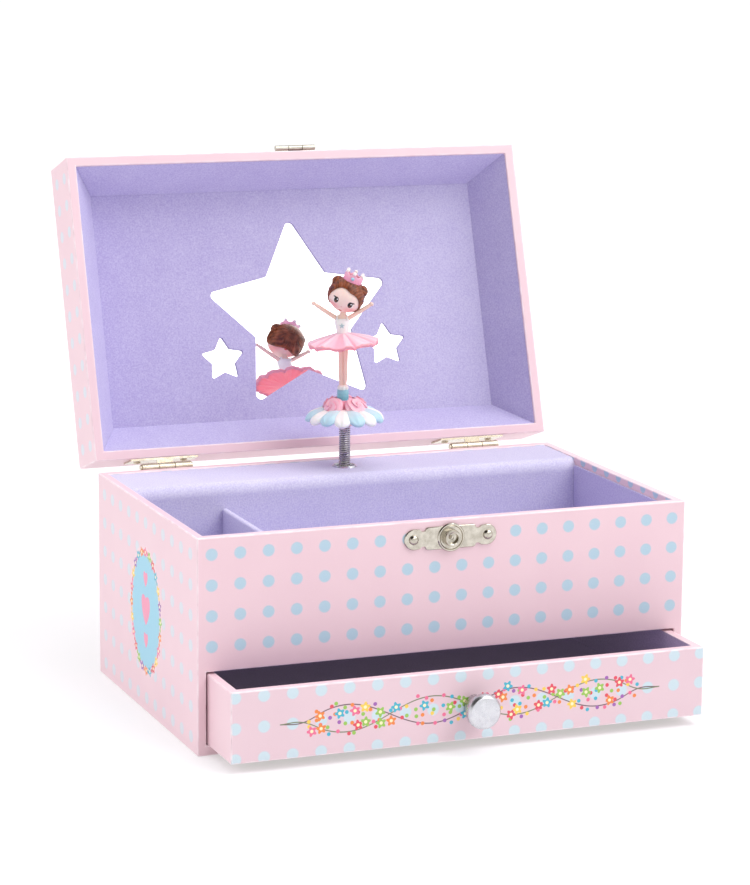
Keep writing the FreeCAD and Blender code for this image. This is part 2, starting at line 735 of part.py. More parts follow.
# Drawer
drawer_y0 = Y_FRONT
drawer_y1 = Y_FRONT + DRAWER_FRONT_T
drawer_y2 = Y_FRONT + DRAWER_L - DRAWER_SIDE_T
drawer_y3 = Y_FRONT + DRAWER_L
drawer_x_in = DRAWER_X - DRAWER_SIDE_T
drawer_floor = DRAWER_Z0 + DRAWER_BOTTOM_T
drawer_front = box(-DRAWER_X, DRAWER_X, drawer_y0, drawer_y1, DRAWER_Z0, DRAWER_Z1)
drawer_left_side = box(-DRAWER_X, -drawer_x_in, drawer_y1, drawer_y3, DRAWER_Z0, DRAWER_Z1)
drawer_right_side = box(drawer_x_in, DRAWER_X, drawer_y1, drawer_y3, DRAWER_Z0, DRAWER_Z1)
drawer_back = box(-drawer_x_in, drawer_x_in, drawer_y2, drawer_y3, DRAWER_Z0, DRAWER_Z1)
drawer_bottom = box(-drawer_x_in, drawer_x_in, drawer_y1, drawer_y2, DRAWER_Z0, drawer_floor)
lining_z1 = drawer_floor + DRAWER_LINING_T
drawer_lining = box(-drawer_x_in, drawer_x_in, drawer_y1, drawer_y2, drawer_floor, lining_z1)
knob_tip = drawer_y0 - KNOB_L
drawer_knob = join([
    rod(KNOB_BASE_R, (0, drawer_y0 - KNOB_BASE_L, KNOB_Z), (0, drawer_y0, KNOB_Z)),
    rod(KNOB_NECK_R, (0, knob_tip + KNOB_HEAD_L, KNOB_Z), (0, drawer_y0 - KNOB_BASE_L, KNOB_Z)),
    rod(KNOB_R, (0, knob_tip, KNOB_Z), (0, knob_tip + KNOB_HEAD_L, KNOB_Z)),
])
knob_rim = []
for e in drawer_knob.Edges:
    if e.Curve.TypeId == "Part::GeomCircle" and abs(e.Curve.Radius - KNOB_R) < NEAR:
        knob_rim.append(e)
drawer_knob = drawer_knob.makeFillet(KNOB_ROUND, knob_rim)
knob_screw = join([
    rod(SCREW_R, (0, drawer_y0 - KNOB_BORE_L, KNOB_Z), (0, drawer_y1, KNOB_Z)),
    rod(SCREW_HEAD_R, (0, drawer_y1, KNOB_Z), (0, drawer_y1 + SCREW_HEAD_T, KNOB_Z)),
])
drawer_knob = drawer_knob.cut(knob_screw)
drawer_front = drawer_front.cut(knob_screw)

# Dancer: coil spring, petal base, roses, legs, tutu, bodice, head and crown
coil_path = Part.makeHelix(SPRING_PITCH, SPRING_TOP + 2 * SPRING_WIRE, SPRING_R)
coil_ring = Part.Wire(Part.makeCircle(SPRING_WIRE / 2, V(SPRING_R, 0, 0), V(0, 1, 0)))
coil = Part.Wire(coil_path.Edges).makePipeShell([coil_ring], True, True)
coil.translate(V(0, AXIS_Y, COVER_TOP - SPRING_WIRE))
dancer_spring = coil.common(upright(2 * SPRING_R, COVER_TOP, COVER_TOP + SPRING_TOP))

petals = [
    rod(BASE_BOSS_R, (0, 0, SPRING_TOP), (0, 0, BASE_TOP_Z)),
    rod(BASE_DISC_R, (0, 0, BASE_DISC_Z), (0, 0, BASE_DISC_Z + BASE_DISC_T)),
]
petal_l = math.hypot(PETAL_OUT - PETAL_IN, PETAL_OUT_Z - PETAL_IN_Z)
petal_profile = (
    (PETAL_ROOT_R, 0), (PETAL_R, petal_l / 2), (PETAL_R, petal_l - PETAL_ROUND), (PETAL_TIP_R, petal_l)
)
for i in range(PETALS):
    a = 2 * math.pi * (i + PETAL_TURN) / PETALS
    inner = (PETAL_IN * math.cos(a), PETAL_IN * math.sin(a), PETAL_IN_Z)
    outer = (PETAL_OUT * math.cos(a), PETAL_OUT * math.sin(a), PETAL_OUT_Z)
    petals.append(turned(petal_profile, inner, tuple(V(*outer) - V(*inner))))
roses = [rod(ROSE_DISC_R, (0, 0, ROSE_DISC_Z0), (0, 0, BAND_Z0))]
for i in range(ROSES):
    a = 2 * math.pi * (i + ROSE_TURN) / ROSES
    spot = (ROSE_RING * math.cos(a), ROSE_RING * math.sin(a), ROSE_Z0)
    roses.append(turned(ROSE_PROFILE, spot, (0, 0, 1)))
roses = join(roses)
legs = join([
    rod(BAND_R, (FIGURE_X, 0, BAND_Z0), (FIGURE_X, 0, BAND_Z1)),
    rod(LEG_R, (FIGURE_X - LEG_APART, 0, BAND_Z1 - SET_IN), (FIGURE_X - LEG_APART, 0, LEG_TOP + SET_IN)),
    rod(LEG_R, (FIGURE_X + LEG_APART, 0, BAND_Z1 - SET_IN), (FIGURE_X + LEG_APART, 0, LEG_TOP + SET_IN)),
])
roses = roses.cut(legs)
base = join(petals).cut(roses).cut(legs)
base = max(base.Solids, key=lambda solid: solid.Volume)
tutu_profile = (
    (TUTU_UNDER_R, LEG_TOP),
    (TUTU_R, TUTU_EDGE_Z - TUTU_EDGE_T),
    (TUTU_R, TUTU_EDGE_Z + TUTU_EDGE_T),
    (WAIST_R, TUTU_TOP_Z),
)
tutu = turned(tutu_profile, (FIGURE_X, 0, 0), (0, 0, 1))
tutu.rotate(V(FIGURE_X, 0, TUTU_EDGE_Z), V(0, 1, 0), TUTU_TILT)
torso = [
    rod(WAIST_R, (TORSO_X, 0, TUTU_TOP_Z - SET_IN), (TORSO_X, 0, TUTU_TOP_Z)),
    Part.makeCone(WAIST_R, CHEST_R, CHEST_Z - TUTU_TOP_Z, V(TORSO_X, 0, TUTU_TOP_Z)),
    Part.makeCone(CHEST_R, SHOULDER_R, SHOULDER_Z - CHEST_Z, V(TORSO_X, 0, CHEST_Z)),
]
for side in (-1, 1):
    path = [(TORSO_X + side * x, 0, z) for x, z in ARM_POINTS]
    torso.append(rod(ARM_R, path[0], path[1]))
    torso.append(ball(ARM_R, path[1]))
    torso.append(rod(ARM_R, path[1], path[2]))
    torso.append(ball(HAND_R, path[2]))
torso = join(torso)
tutu = tutu.cut(torso).cut(legs)
head = [
    ball(HEAD_R, (0, 0, 0)),
    ball(HAIR_R, (0, HAIR_BACK, HAIR_UP)),
]
for side in (-1, 1):
    a = math.radians(90 + side * BUN_DEG)
    head.append(ball(BUN_R, (BUN_OUT * math.cos(a), HAIR_BACK, BUN_OUT * math.sin(a))))
head = join(head)
crown = rod(CROWN_R, (0, 0, CROWN_AT), (0, 0, CROWN_AT + CROWN_H))
crown = crown.cut(rod(CROWN_R - CROWN_T, (0, 0, CROWN_AT - PAST), (0, 0, CROWN_AT + CROWN_H + PAST)))
tips = [crown]
for i in range(CROWN_TIPS):
    a = 2 * math.pi * i / CROWN_TIPS
    ring_r = CROWN_R - CROWN_T / 2
    tips.append(ball(CROWN_TIP_R, (ring_r * math.cos(a), ring_r * math.sin(a), CROWN_AT + CROWN_H)))
crown = join(tips).cut(head)
for piece in (head, crown):
    piece.rotate(V(0, 0, 0), V(0, 1, 0), HEAD_TILT)
    piece.translate(V(HEAD_X, 0, HEAD_Z))
neck = rod(NECK_R, (TORSO_X, 0, SHOULDER_Z), (HEAD_X, 0, HEAD_Z - HEAD_R / 2))
head = head.fuse(neck.cut(torso)).removeSplitter().cut(torso)

# Dancer spindle with its wheel
wheel_r = MODULE * SPINDLE_WHEEL_N / 2
pinion_r = MODULE * SPINDLE_PINION_N / 2
mesh_z = ARBOR_Z + pinion_r
wheel_z = mesh_z + TOOTH_DED * MODULE
spindle_parts = [
    upright(wheel_r + SPINDLE_WHEEL_FACE / 2, wheel_z, wheel_z + SPINDLE_WHEEL_T),
    upright(SPINDLE_HUB_R, wheel_z, BRACKET_Z - RUN_FIT),
    upright(SPINDLE_R, wheel_z, COVER_TOP),
    upright(SPINDLE_SEAT_R, COVER_TOP - SPINDLE_SEAT_T, COVER_TOP),
    upright(SPINDLE_STUB_R, COVER_TOP, COVER_TOP + SPINDLE_STUB_L),
]
for tooth in crown_teeth(SPINDLE_WHEEL_N, MODULE, SPINDLE_WHEEL_FACE, SPINDLE_LEAD):
    tooth.rotate(V(0, 0, 0), V(1, 0, 0), 180)
    tooth.translate(V(0, AXIS_Y, mesh_z))
    spindle_parts.append(tooth)
spindle = join(spindle_parts)

# Pinned cylinder and its pinions on one arbor
barrel_pinion_r = MODULE * BARREL_PINION_N / 2
cylinder_parts = [
    rod(ARBOR_R, (ARBOR_X0, AXIS_Y, ARBOR_Z), (ARBOR_X1, AXIS_Y, ARBOR_Z)),
    rod(DRUM_R, (DRUM_X0, AXIS_Y, ARBOR_Z), (DRUM_X1, AXIS_Y, ARBOR_Z)),
    spur(SPINDLE_PINION_N, MODULE, SPINDLE_PINION_X, SPINDLE_PINION_W, AXIS_Y, ARBOR_Z, math.pi / 2),
    spur(BARREL_PINION_N, MODULE, BARREL_PINION_X, SPINDLE_PINION_W, AXIS_Y, ARBOR_Z, math.pi),
    spur(DRIVE_N, FINE_MODULE, DRIVE_X, DRIVE_W, AXIS_Y, ARBOR_Z, -math.pi / 2),
]
for i in range(NOTES * PINS_PER_NOTE):
    note_x = COMB_X0 + COMB_PITCH * (i % NOTES + 0.5)
    a = math.radians(PIN_STEP_DEG * i)
    ends = []
    for reach in (DRUM_R - DRUM_PIN_ROOT, DRUM_R + DRUM_PIN_H):
        ends.append((note_x, AXIS_Y + reach * math.cos(a), ARBOR_Z + reach * math.sin(a)))
    cylinder_parts.append(rod(DRUM_PIN_R, *ends))
music_cylinder = join(cylinder_parts)

# Spring barrel with crown teeth, and the winding arbor and key
barrel_wheel_r = MODULE * BARREL_WHEEL_N / 2
barrel_x = BARREL_PINION_X + SPINDLE_PINION_W / 2 + barrel_wheel_r
barrel_mesh_y = AXIS_Y - barrel_pinion_r
barrel_rear = barrel_mesh_y - TOOTH_DED * MODULE
barrel_parts = [rod(BARREL_R, (barrel_x, BARREL_FRONT, ARBOR_Z), (barrel_x, barrel_rear, ARBOR_Z))]
for tooth in crown_teeth(BARREL_WHEEL_N, MODULE, BARREL_FACE, BARREL_LEAD):
    tooth.rotate(V(0, 0, 0), V(1, 0, 0), -90)
    tooth.translate(V(barrel_x, barrel_mesh_y, ARBOR_Z))
    barrel_parts.append(tooth)
spring_barrel = join(barrel_parts)
spring_barrel = spring_barrel.cut(
    rod(
        BARREL_R - BARREL_WALL,
        (barrel_x, BARREL_FRONT + BARREL_WALL, ARBOR_Z),
        (barrel_x, barrel_rear - BARREL_WALL, ARBOR_Z),
    )
)
spring_barrel = spring_barrel.cut(
    rod(WIND_R + RUN_FIT, (barrel_x, BARREL_FRONT - PAST, ARBOR_Z), (barrel_x, barrel_rear + PAST, ARBOR_Z))
)
winding_arbor = rod(WIND_R, (barrel_x, WIND_FRONT, ARBOR_Z), (barrel_x, WIND_END, ARBOR_Z))
key_parts = [rod(KEY_HUB_R, (barrel_x, KEY_Y, ARBOR_Z), (barrel_x, KEY_HUB_END, ARBOR_Z))]
wing_z0 = ARBOR_Z - KEY_WING_T / 2
wing_z1 = ARBOR_Z + KEY_WING_T / 2
key_parts.append(
    box(barrel_x - KEY_WING_X, barrel_x + KEY_WING_X, KEY_HUB_END - SET_IN, KEY_WING_Y, wing_z0, wing_z1)
)
for side in (-1, 1):
    wing_x = barrel_x + side * KEY_WING_X
    key_parts.append(upright(KEY_WING_R, wing_z0, wing_z1, wing_x, KEY_WING_Y))
winding_key = join(key_parts)
for side in (-1, 1):
    wing_x = barrel_x + side * KEY_WING_X
    winding_key = winding_key.cut(upright(KEY_HOLE_R, wing_z0 - PAST, wing_z1 + PAST, wing_x, KEY_WING_Y))
winding_key = winding_key.cut(winding_arbor)

# Governor: a wheel driven from the arbor, and a fan driven from the wheel
drive_r = FINE_MODULE * DRIVE_N / 2
gov_pinion_r = FINE_MODULE * GOV_PINION_N / 2
gov_wheel_r = FINE_MODULE * GOV_WHEEL_N / 2
fan_pinion_r = FINE_MODULE * FAN_PINION_N / 2
gov_z = ARBOR_Z - drive_r - gov_pinion_r
fan_y = AXIS_Y - gov_wheel_r - fan_pinion_r
plate_end = MID_PLATE_X[1]
governor_wheel = join([
    rod(GOV_R, (ARBOR_X0, AXIS_Y, gov_z), (plate_end, AXIS_Y, gov_z)),
    spur(
        GOV_PINION_N, FINE_MODULE, GOV_PINION_X, GOV_PINION_W, AXIS_Y, gov_z,
        math.pi / 2 + math.pi / GOV_PINION_N,
    ),
    spur(GOV_WHEEL_N, FINE_MODULE, GOV_WHEEL_X, GOV_WHEEL_W, AXIS_Y, gov_z, math.pi),
])
blade_z0 = gov_z - FAN_BLADE_T / 2
blade_z1 = gov_z + FAN_BLADE_T / 2
fan_parts = [
    rod(FAN_R, (ARBOR_X0, fan_y, gov_z), (plate_end, fan_y, gov_z)),
    rod(FAN_HUB_R, (FAN_X0, fan_y, gov_z), (FAN_X1, fan_y, gov_z)),
    box(FAN_X0, FAN_X1, fan_y - FAN_BLADE_R, fan_y + FAN_BLADE_R, blade_z0, blade_z1),
    spur(FAN_PINION_N, FINE_MODULE, FAN_PINION_X, FAN_PINION_W, fan_y, gov_z, math.pi / FAN_PINION_N),
]
governor_fan = join(fan_parts)

# Frame of the movement, with bearing plates, and what is screwed to it
comb_x1 = COMB_X0 + COMB_PITCH * NOTES
comb_y0 = AXIS_Y - COMB_T / 2
comb_y1 = AXIS_Y + COMB_T / 2
frame_parts = [
    box(FRAME_X0, FRAME_X1, FRAME_FRONT, Y_BACK, FRAME_Z0, FRAME_Z1),
    box(FRAME_X0, FRAME_EAR_X1, FRAME_FRONT, Y_BACK, FRAME_Z1, BRACKET_Z),
    box(LEFT_PLATE_X[0], LEFT_PLATE_X[1], PLATE_FRONT, FRAME_FRONT, PLATE_Z0, PLATE_Z1),
    box(MID_PLATE_X[0], MID_PLATE_X[1], PLATE_FRONT, FRAME_FRONT, PLATE_Z0, PLATE_Z1),
    box(POST_X[0], POST_X[1], POST_FRONT, FRAME_FRONT, POST_Z0, POST_Z1),
    box(COMB_X0, comb_x1, comb_y1, FRAME_FRONT, COMB_Z0, COMB_BLOCK_Z1),
    rod(WIND_BOSS_R, (barrel_x, WIND_BOSS_FRONT, ARBOR_Z), (barrel_x, FRAME_FRONT, ARBOR_Z)),
]
movement_frame = join(frame_parts)
for hole in (
    rod(ARBOR_R + RUN_FIT, (LEFT_PLATE_X[0], AXIS_Y, ARBOR_Z), (LEFT_PLATE_X[1], AXIS_Y, ARBOR_Z)),
    rod(ARBOR_CLEAR_R, (MID_PLATE_X[0], AXIS_Y, ARBOR_Z), (MID_PLATE_X[1], AXIS_Y, ARBOR_Z)),
    rod(ARBOR_R + RUN_FIT, (POST_X[0], AXIS_Y, ARBOR_Z), (POST_X[1], AXIS_Y, ARBOR_Z)),
    rod(GOV_R + RUN_FIT, (LEFT_PLATE_X[0], AXIS_Y, gov_z), (plate_end, AXIS_Y, gov_z)),
    rod(FAN_R + RUN_FIT, (LEFT_PLATE_X[0], fan_y, gov_z), (plate_end, fan_y, gov_z)),
    rod(WIND_R + RUN_FIT, (barrel_x, WIND_BOSS_FRONT, ARBOR_Z), (barrel_x, Y_BACK, ARBOR_Z)),
):
    movement_frame = movement_frame.cut(hole)
rear_panel = rear_panel.cut(rod(WIND_HOLE_R, (barrel_x, Y_BACK, ARBOR_Z), (barrel_x, Y_REAR, ARBOR_Z)))
spindle_bracket = box(BRACKET_X0, BRACKET_X1, BRACKET_FRONT, Y_BACK, BRACKET_Z, BRACKET_Z + BRACKET_T)
spindle_bracket = spindle_bracket.cut(upright(SPINDLE_R + RUN_FIT, BRACKET_Z, BRACKET_Z + BRACKET_T))
spindle_bracket = spindle_bracket.cut(
    upright(STOP_R + STOP_CLEAR, BRACKET_Z, BRACKET_Z + BRACKET_T, STOP_X, STOP_Y)
)
comb = box(COMB_X0, comb_x1, comb_y0, comb_y1, COMB_Z0, COMB_TIP_Z)
slots = []
for i in range(1, NOTES):
    slot_x = COMB_X0 + COMB_PITCH * i
    slot_x0 = slot_x - COMB_SLOT / 2
    slots.append(box(slot_x0, slot_x0 + COMB_SLOT, comb_y0, comb_y1, COMB_ROOT_Z, COMB_TIP_Z))
comb = comb.cut(group(slots))
movement_screws = []
for x, z in FIX_SCREWS:
    screw = join([
        rod(FIX_R, (x, FRAME_FRONT, z), (x, Y_REAR, z)),
        rod(FIX_HEAD_R, (x, Y_REAR, z), (x, Y_REAR + FIX_HEAD_T, z)),
    ])
    movement_frame = movement_frame.cut(screw)
    rear_panel = rear_panel.cut(screw)
    movement_screws.append(screw)

# Stop rod: the rear rim of the lid pushes it down and its foot comes over the spindle wheel
stop_rod = join([
    upright(STOP_R, STOP_FOOT_Z, STOP_TOP, STOP_X, STOP_Y),
    box(STOP_X - STOP_R, STOP_X + STOP_R, STOP_FOOT_Y, STOP_Y, STOP_FOOT_Z, STOP_FOOT_Z + STOP_FOOT_T),
])

save("base_panel", base_panel)
save("left_side_panel", left_side_panel)
save("right_side_panel", right_side_panel)
save("rear_panel", rear_panel)
save("front_panel", front_panel)
save("tray_deck", tray_deck)
save("tray_floor_lining", tray_floor_lining)
save("tray_wall_lining", tray_wall_lining)
save("tray_divider", tray_divider)
save("movement_cover", movement_cover)
save("spindle_grommet", spindle_grommet)
save("clasp_plate", clasp_plate)
save("clasp_nails", group(clasp_nails))
save("hinge_case_leaves", group(case_leaves))
save("hinge_pins", group(hinge_pins))
save("hinge_case_nails", group(case_nails))
save("movement_frame", movement_frame)
save("spindle_bracket", spindle_bracket)
save("comb", comb)
save("movement_screws", group(movement_screws))
save("lid_top_panel", open_lid(lid_top_panel))
save("lid_left_wall", open_lid(lid_left_wall))
save("lid_right_wall", open_lid(lid_right_wall))
save("lid_front_wall", open_lid(lid_front_wall))
save("lid_rear_wall", open_lid(lid_rear_wall))
for name, board in lid_linings.items():
    save("lid_lining_" + name, open_lid(board))
save("star_panel", open_lid(star_panel))
save("mirror", open_lid(mirror))
save("hinge_lid_leaves", open_lid(group(lid_leaves)))
save("hinge_lid_nails", open_lid(group(lid_nails)))
save("hasp_plate", open_lid(hasp_plate))
save("hasp_nails", open_lid(group(hasp_nails)))
save("hasp_tongue", open_lid(hasp_tongue))
save("drawer_front", draw_out(drawer_front))
save("drawer_left_side", draw_out(drawer_left_side))
save("drawer_right_side", draw_out(drawer_right_side))
save("drawer_back", draw_out(drawer_back))
save("drawer_bottom", draw_out(drawer_bottom))
save("drawer_lining", draw_out(drawer_lining))
save("drawer_knob", draw_out(drawer_knob))
save("knob_screw", draw_out(knob_screw))
save("dancer_spring", dancer_spring)
save("dancer_base", place_figure(base))
save("dancer_roses", place_figure(roses))
save("dancer_legs", place_figure(legs))
save("dancer_tutu", place_figure(tutu))
save("dancer_torso", place_figure(torso))
save("dancer_head", place_figure(head))
save("dancer_crown", place_figure(crown))
save("music_cylinder", music_cylinder)
save("spring_barrel", spring_barrel)
save("winding_arbor", winding_arbor)
save("winding_key", winding_key)
save("governor_wheel", governor_wheel)
save("governor_fan", governor_fan)
save("spindle", spindle)
save("stop_rod", stop_rod)
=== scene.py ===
"""Musical jewellery box: papered boards, flocked linings, a mirror lid and a painted dancer on a spring."""
import json
import math

import bmesh
import bpy
from mathutils import Matrix, Vector, noise


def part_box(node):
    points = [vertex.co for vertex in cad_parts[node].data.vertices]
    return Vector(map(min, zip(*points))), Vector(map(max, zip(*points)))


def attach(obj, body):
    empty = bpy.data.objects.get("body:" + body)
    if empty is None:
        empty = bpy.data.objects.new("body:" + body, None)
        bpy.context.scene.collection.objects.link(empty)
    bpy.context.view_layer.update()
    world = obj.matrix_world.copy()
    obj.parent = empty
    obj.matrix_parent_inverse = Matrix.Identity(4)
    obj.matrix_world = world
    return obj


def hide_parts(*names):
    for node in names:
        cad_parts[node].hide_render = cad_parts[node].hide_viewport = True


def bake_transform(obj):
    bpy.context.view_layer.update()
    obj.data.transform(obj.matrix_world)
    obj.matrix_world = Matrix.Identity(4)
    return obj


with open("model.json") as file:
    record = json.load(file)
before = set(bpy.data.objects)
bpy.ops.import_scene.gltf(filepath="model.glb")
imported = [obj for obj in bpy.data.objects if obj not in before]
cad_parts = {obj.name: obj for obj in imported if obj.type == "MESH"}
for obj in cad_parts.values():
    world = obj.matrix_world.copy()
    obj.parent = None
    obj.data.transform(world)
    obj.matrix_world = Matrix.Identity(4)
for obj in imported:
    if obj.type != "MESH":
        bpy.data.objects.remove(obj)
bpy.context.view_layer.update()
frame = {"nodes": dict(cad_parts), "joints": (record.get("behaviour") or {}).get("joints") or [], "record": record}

# Camera, in metres and degrees
CAMERA_AIM = Vector((-0.00488, 0.0002, 0.10105))
CAMERA_DISTANCE = 1.19454
CAMERA_AZIMUTH = -21.57
CAMERA_ELEVATION = 10.93
CAMERA_ROLL = 0.45
CAMERA_LENS = 122.9
CAMERA_SENSOR = 36.0

# Room light, with one dark patch, and the floor's half size in metres
ROOM = 0.46
DARK_TOWARD = Vector((-0.47, -0.36, 0.81)).normalized()
DARK_R = 0.62
DARK_BLUR = 0.16
FLOOR_HALF = 14.0

# Board edges and the dots printed on the paper; sizes from here on are in millimetres
MM = 0.001
PAST = 5.0
NEAR = 0.1
STEEP = 0.707
BOARD_ROUND = 0.55
BOARD_STEPS = 3
TURN_IN = 10.0
DOT_PITCH_U = 11.1
DOT_PITCH_V = 11.64
DOT_R = 2.3
DOT_BLUR = 0.3
FRONT_DOT = (5.55, 76.5)
SIDE_DOT = (-0.6, 75.7)
DRAWER_DOT = (5.55, 17.3)
LID_DOT = (5.55, 5.6)
PLAIN = (DOT_PITCH_U / 2, DOT_PITCH_V / 2)
KEY_HOLE_R = 5.0
KEY_HOLE_STEPS = 40

# Prints: side medallion with its wreath and hearts, and the drawer's garland
PRINT_BLUR = 0.08
PETAL_BLUR = 0.09
MEDAL_Z = 40.3
MEDAL_HALF = (17.5, 22.5)
MEDAL_MARGIN = 0.16
MARGIN_BLUR = 0.02
MEDAL_STEM = 0.012
MEDAL_BLUR = 0.008
WREATH_HALF = (18.6, 23.6)
WREATH_COUNT = 24
WREATH_MIX = 0.618
HEARTS = ((0.0, 5.4), (12.6, 2.7), (-11.8, 2.7))
HEART_LEAN = 0.62
HEART_BLUR = 0.05
GARLAND_X = 68.0
GARLAND_TAIL = 9.0
END_BLUR = 0.4
GARLAND_BEAT = 2 * math.pi / 68.0
GARLAND_RISE = 5.2
GARLAND_BAND = 7.6
GARLAND_LINE = 0.22
BLOSSOM_CELL = 5.6
BLOSSOM_R = 2.15
BLOSSOM_GAPS = 0.3
BLOSSOM_PETALS = 5
BLOSSOM_LOBE = 0.2
BLOSSOM_MEAN = 0.78
BLOSSOM_EYE = 0.3
BUD_CELL = 3.5
SPRIG_SPREAD = 0.75
BUD_R = 0.75

# Painted shade across the lid's panel, darker towards its left, and bow of the mirror sheet, by metre
PANEL_PAINTED_SHADE = 3.2
MIRROR_BOW_FROM = (0.109, 0.0, 0.0)
MIRROR_BOW = (-1.19, 0.0, 0.0)

# Fittings; turned forms are pairs of radius, or inset from the radius, and height
TIP_R = 0.05
PLATE_T = 0.8
PLATE_ROUND = 0.22
PLATE_HALF = (19.0, 4.5)
PLATE_REACH = 18.9
PLATE_END_R = 4.0
PLATE_END_TURN = math.radians(100)
PLATE_END_STEPS = 13
PLATE_SHOULDER = ((0.0, 4.5), (9.4, 4.35), (10.1, 4.0), (10.4, 3.2), (11.1, 2.95), (11.9, 3.1), (12.6, 3.75))
CATCH_BEAD = ((5.5, 0.5), (5.5, 1.0), (5.2, 1.35), (4.8, 1.35), (4.4, 1.05), (3.3, 0.95))
CATCH_POST = ((3.2, 2.9), (3.0, 3.3), (2.5, 3.4), (2.1, 3.2), (1.95, 2.6), (1.9, 1.4))
CATCH_PIN = ((0.7, 1.2), (0.6, 2.2), (0.3, 2.4), (TIP_R, 2.45))
NAIL_X = 15.2
NAIL_DOME = ((1.9, 0.0), (1.9, 0.25), (1.615, 0.75), (0.95, 1.1), (TIP_R, 1.25))
KNOB_FOOT = ((2.6, 0.0), (2.3, 0.3))
KNOB_DRUM = ((1.3, 6.0), (0.4, 4.2), (0.0, 3.2), (0.0, 1.5))
KNOB_RIM = ((0.1, 1.2), (0.85, 0.35), (1.0, 0.25), (1.3, 0.15))
KNOB_FACE_R = 2.0
EYELET_RIM = 2.0
EYELET_IN = ((0.0, 0.0), (0.0, 0.6), (0.25, 1.0), (0.6, 1.0))
EYELET_OUT = ((0.7, 0.75), (0.25, 0.6), (0.0, 0.25), (0.0, 0.0))
SPRING_R = 2.0
SPRING_WIRE = 0.4
SPRING_PITCH = 0.95
SPRING_STEPS = 22

# Figure, with heights from the top of the movement cover
FIGURE_YAW = math.radians(-25.0)
FIGURE_X = -0.8
TORSO_X = -1.2
PETALS = 14
PETAL_IN = (5.0, 23.2)
PETAL_OUT = (16.3, 19.4)
PETAL_W = 3.75
PETAL_T = 2.2
PETAL_ROUND = 0.7
PETAL_ROOT_W = 0.72
PETAL_ROOT_T = 0.6
PETAL_LIFT = (-0.1, 0.25)
PETAL_DROOP = 1.8
PETAL_PUCKER = 0.16
PETAL_ROWS = 17
PETAL_STEPS = 32
PETAL_NECK_R = 3.3
PETAL_CORE = ((5.0, 18.6), (10.5, 19.3), (12.0, 20.6), (9.0, 23.0), (PETAL_NECK_R, 24.0))
ROSE_TURNS = (-136.0, -44.0, 20.0, 90.0, 160.0)
ROSE_STEM = ((2.6, 23.4), (5.2, 23.6), (4.8, 26.0), (3.2, 27.2), (2.5, 27.6))
ROSE_RING = 5.9
ROSE_Z = 24.8
ROSE_R = 4.05
ROSE_H = 2.7
ROSE_OPEN = math.radians(112)
ROSE_LEAN = math.radians(55.0)
ROSE_ROWS = 50
ROSE_STEPS = 72
BAND_Z0 = 27.4
BAND_Z1 = 31.9
BAND_R = 2.35
BAND_RIBS = 12
CUFF = (
    (1.6, -0.3, 0.0), (2.1, 0.1, 0.08), (2.2, 0.7, 0.2),
    (2.05, 1.3, 0.18), (1.7, 1.8, 0.1), (0.9, 1.9, 0.0),
)
LEG_PATH = ((0.62, 33.2), (0.82, 37.0), (0.9, 41.5), (0.95, 46.0), (0.98, 50.5))
LEG_R = 0.82
LEG_GAIN = 0.3
LEG_CALF = 0.12
LEG_ROWS = 22
TUTU_R = 14.1
TUTU_WAIST = 2.5
TUTU_Z = 51.7
TUTU_TOP = 55.4
TUTU_TILT = math.radians(-4.0)
TUTU_RIM = ((0.25, 0.3), (0.3, 0.8), (0.05, 1.25), (-0.5, 1.45))
TUTU_TOP_ROWS = 15
TUTU_UNDER_ROWS = 8
TUTU_STEPS = 180
PLEATS = 11
PLEAT_H = 1.3
BODICE = (
    (2.4, 2.2, 54.3), (2.4, 2.2, 55.4), (2.4, 2.1, 56.4), (2.75, 2.4, 57.8),
    (3.05, 2.65, 59.0), (3.0, 2.5, 60.2), (2.8, 2.15, 61.0), (2.6, 1.9, 61.3),
)
NECK = (
    (2.5, 1.8, 60.9), (2.45, 1.75, 61.6), (2.0, 1.55, 62.4),
    (1.3, 1.25, 63.0), (1.2, 1.2, 64.4), (1.25, 1.25, 66.0),
)
NECK_Z = 62.4
NECK_H = 3.6
ARM_PATH = ((2.2, 61.2), (5.0, 62.9), (8.0, 64.8), (10.4, 66.4), (12.6, 67.7))
ARM_R = 0.95
ARM_TAPER = 0.22
ARM_WRIST = 0.128
ARM_HAND = 0.24
ARM_FLAT = 0.85
ARM_ROWS = 26
THUMB_ROW = 22
THUMB_REACH = (-0.2, -0.5, 1.15)
THUMB_R = (0.4, 0.36, 0.14)
STRAP = ((2.2, -1.75, 60.6), (2.05, -1.5, 61.6), (1.9, -0.4, 62.35), (2.0, 1.3, 61.7), (2.2, 1.75, 60.6))
STRAP_R = 0.34
STRAP_ROWS = 16
BADGE_Z = 58.5
BADGE_R = (1.25, 0.55)
BADGE_ROWS = ((-2.2, 1.0), (-2.62, 1.0), (-2.78, 0.75))
HEAD_AT = (0.1, 0.0, 70.2)
HEAD_TILT = math.radians(22.0)
HEAD_R = 6.75
HEAD_STEPS = 72
HEAD_ROWS = 48
HAIR_R = 7.5
HAIR_AT = Vector((0.0, 0.9, 0.8))
HAIR_BACK = math.radians(178)
HAIR_STEPS = 120
HAIR_ROWS = 22
HAIR_LIP = 0.06
STRANDS = 26
FINE_STRANDS = 61
BUN_OUT = 7.3
BUN_DEG = 50.0
BUN_R = 2.35
BUN_STEPS = 40
BUN_ROWS = 16
BUN_COILS = 5
CROWN_R = 4.0
CROWN_T = 0.8
CROWN_AT = 6.6
CROWN_TOP = 10.1
CROWN_DIP = 0.8
CROWN_TIPS = 6
CROWN_STEPS = 96
CROWN_OUT = ((0.1, 0.0), (0.0, 0.12), (0.12, 0.3), (0.0, 0.9), (0.15, 1.0))
CROWN_IN = ((0.15, 1.0), (0.0, 0.9))
PEARL_R = 0.75
PEARL_ROWS = 10
GEM = ((0.75, 0.0), (0.7, 0.25), (0.4, 0.45), (TIP_R, 0.5))

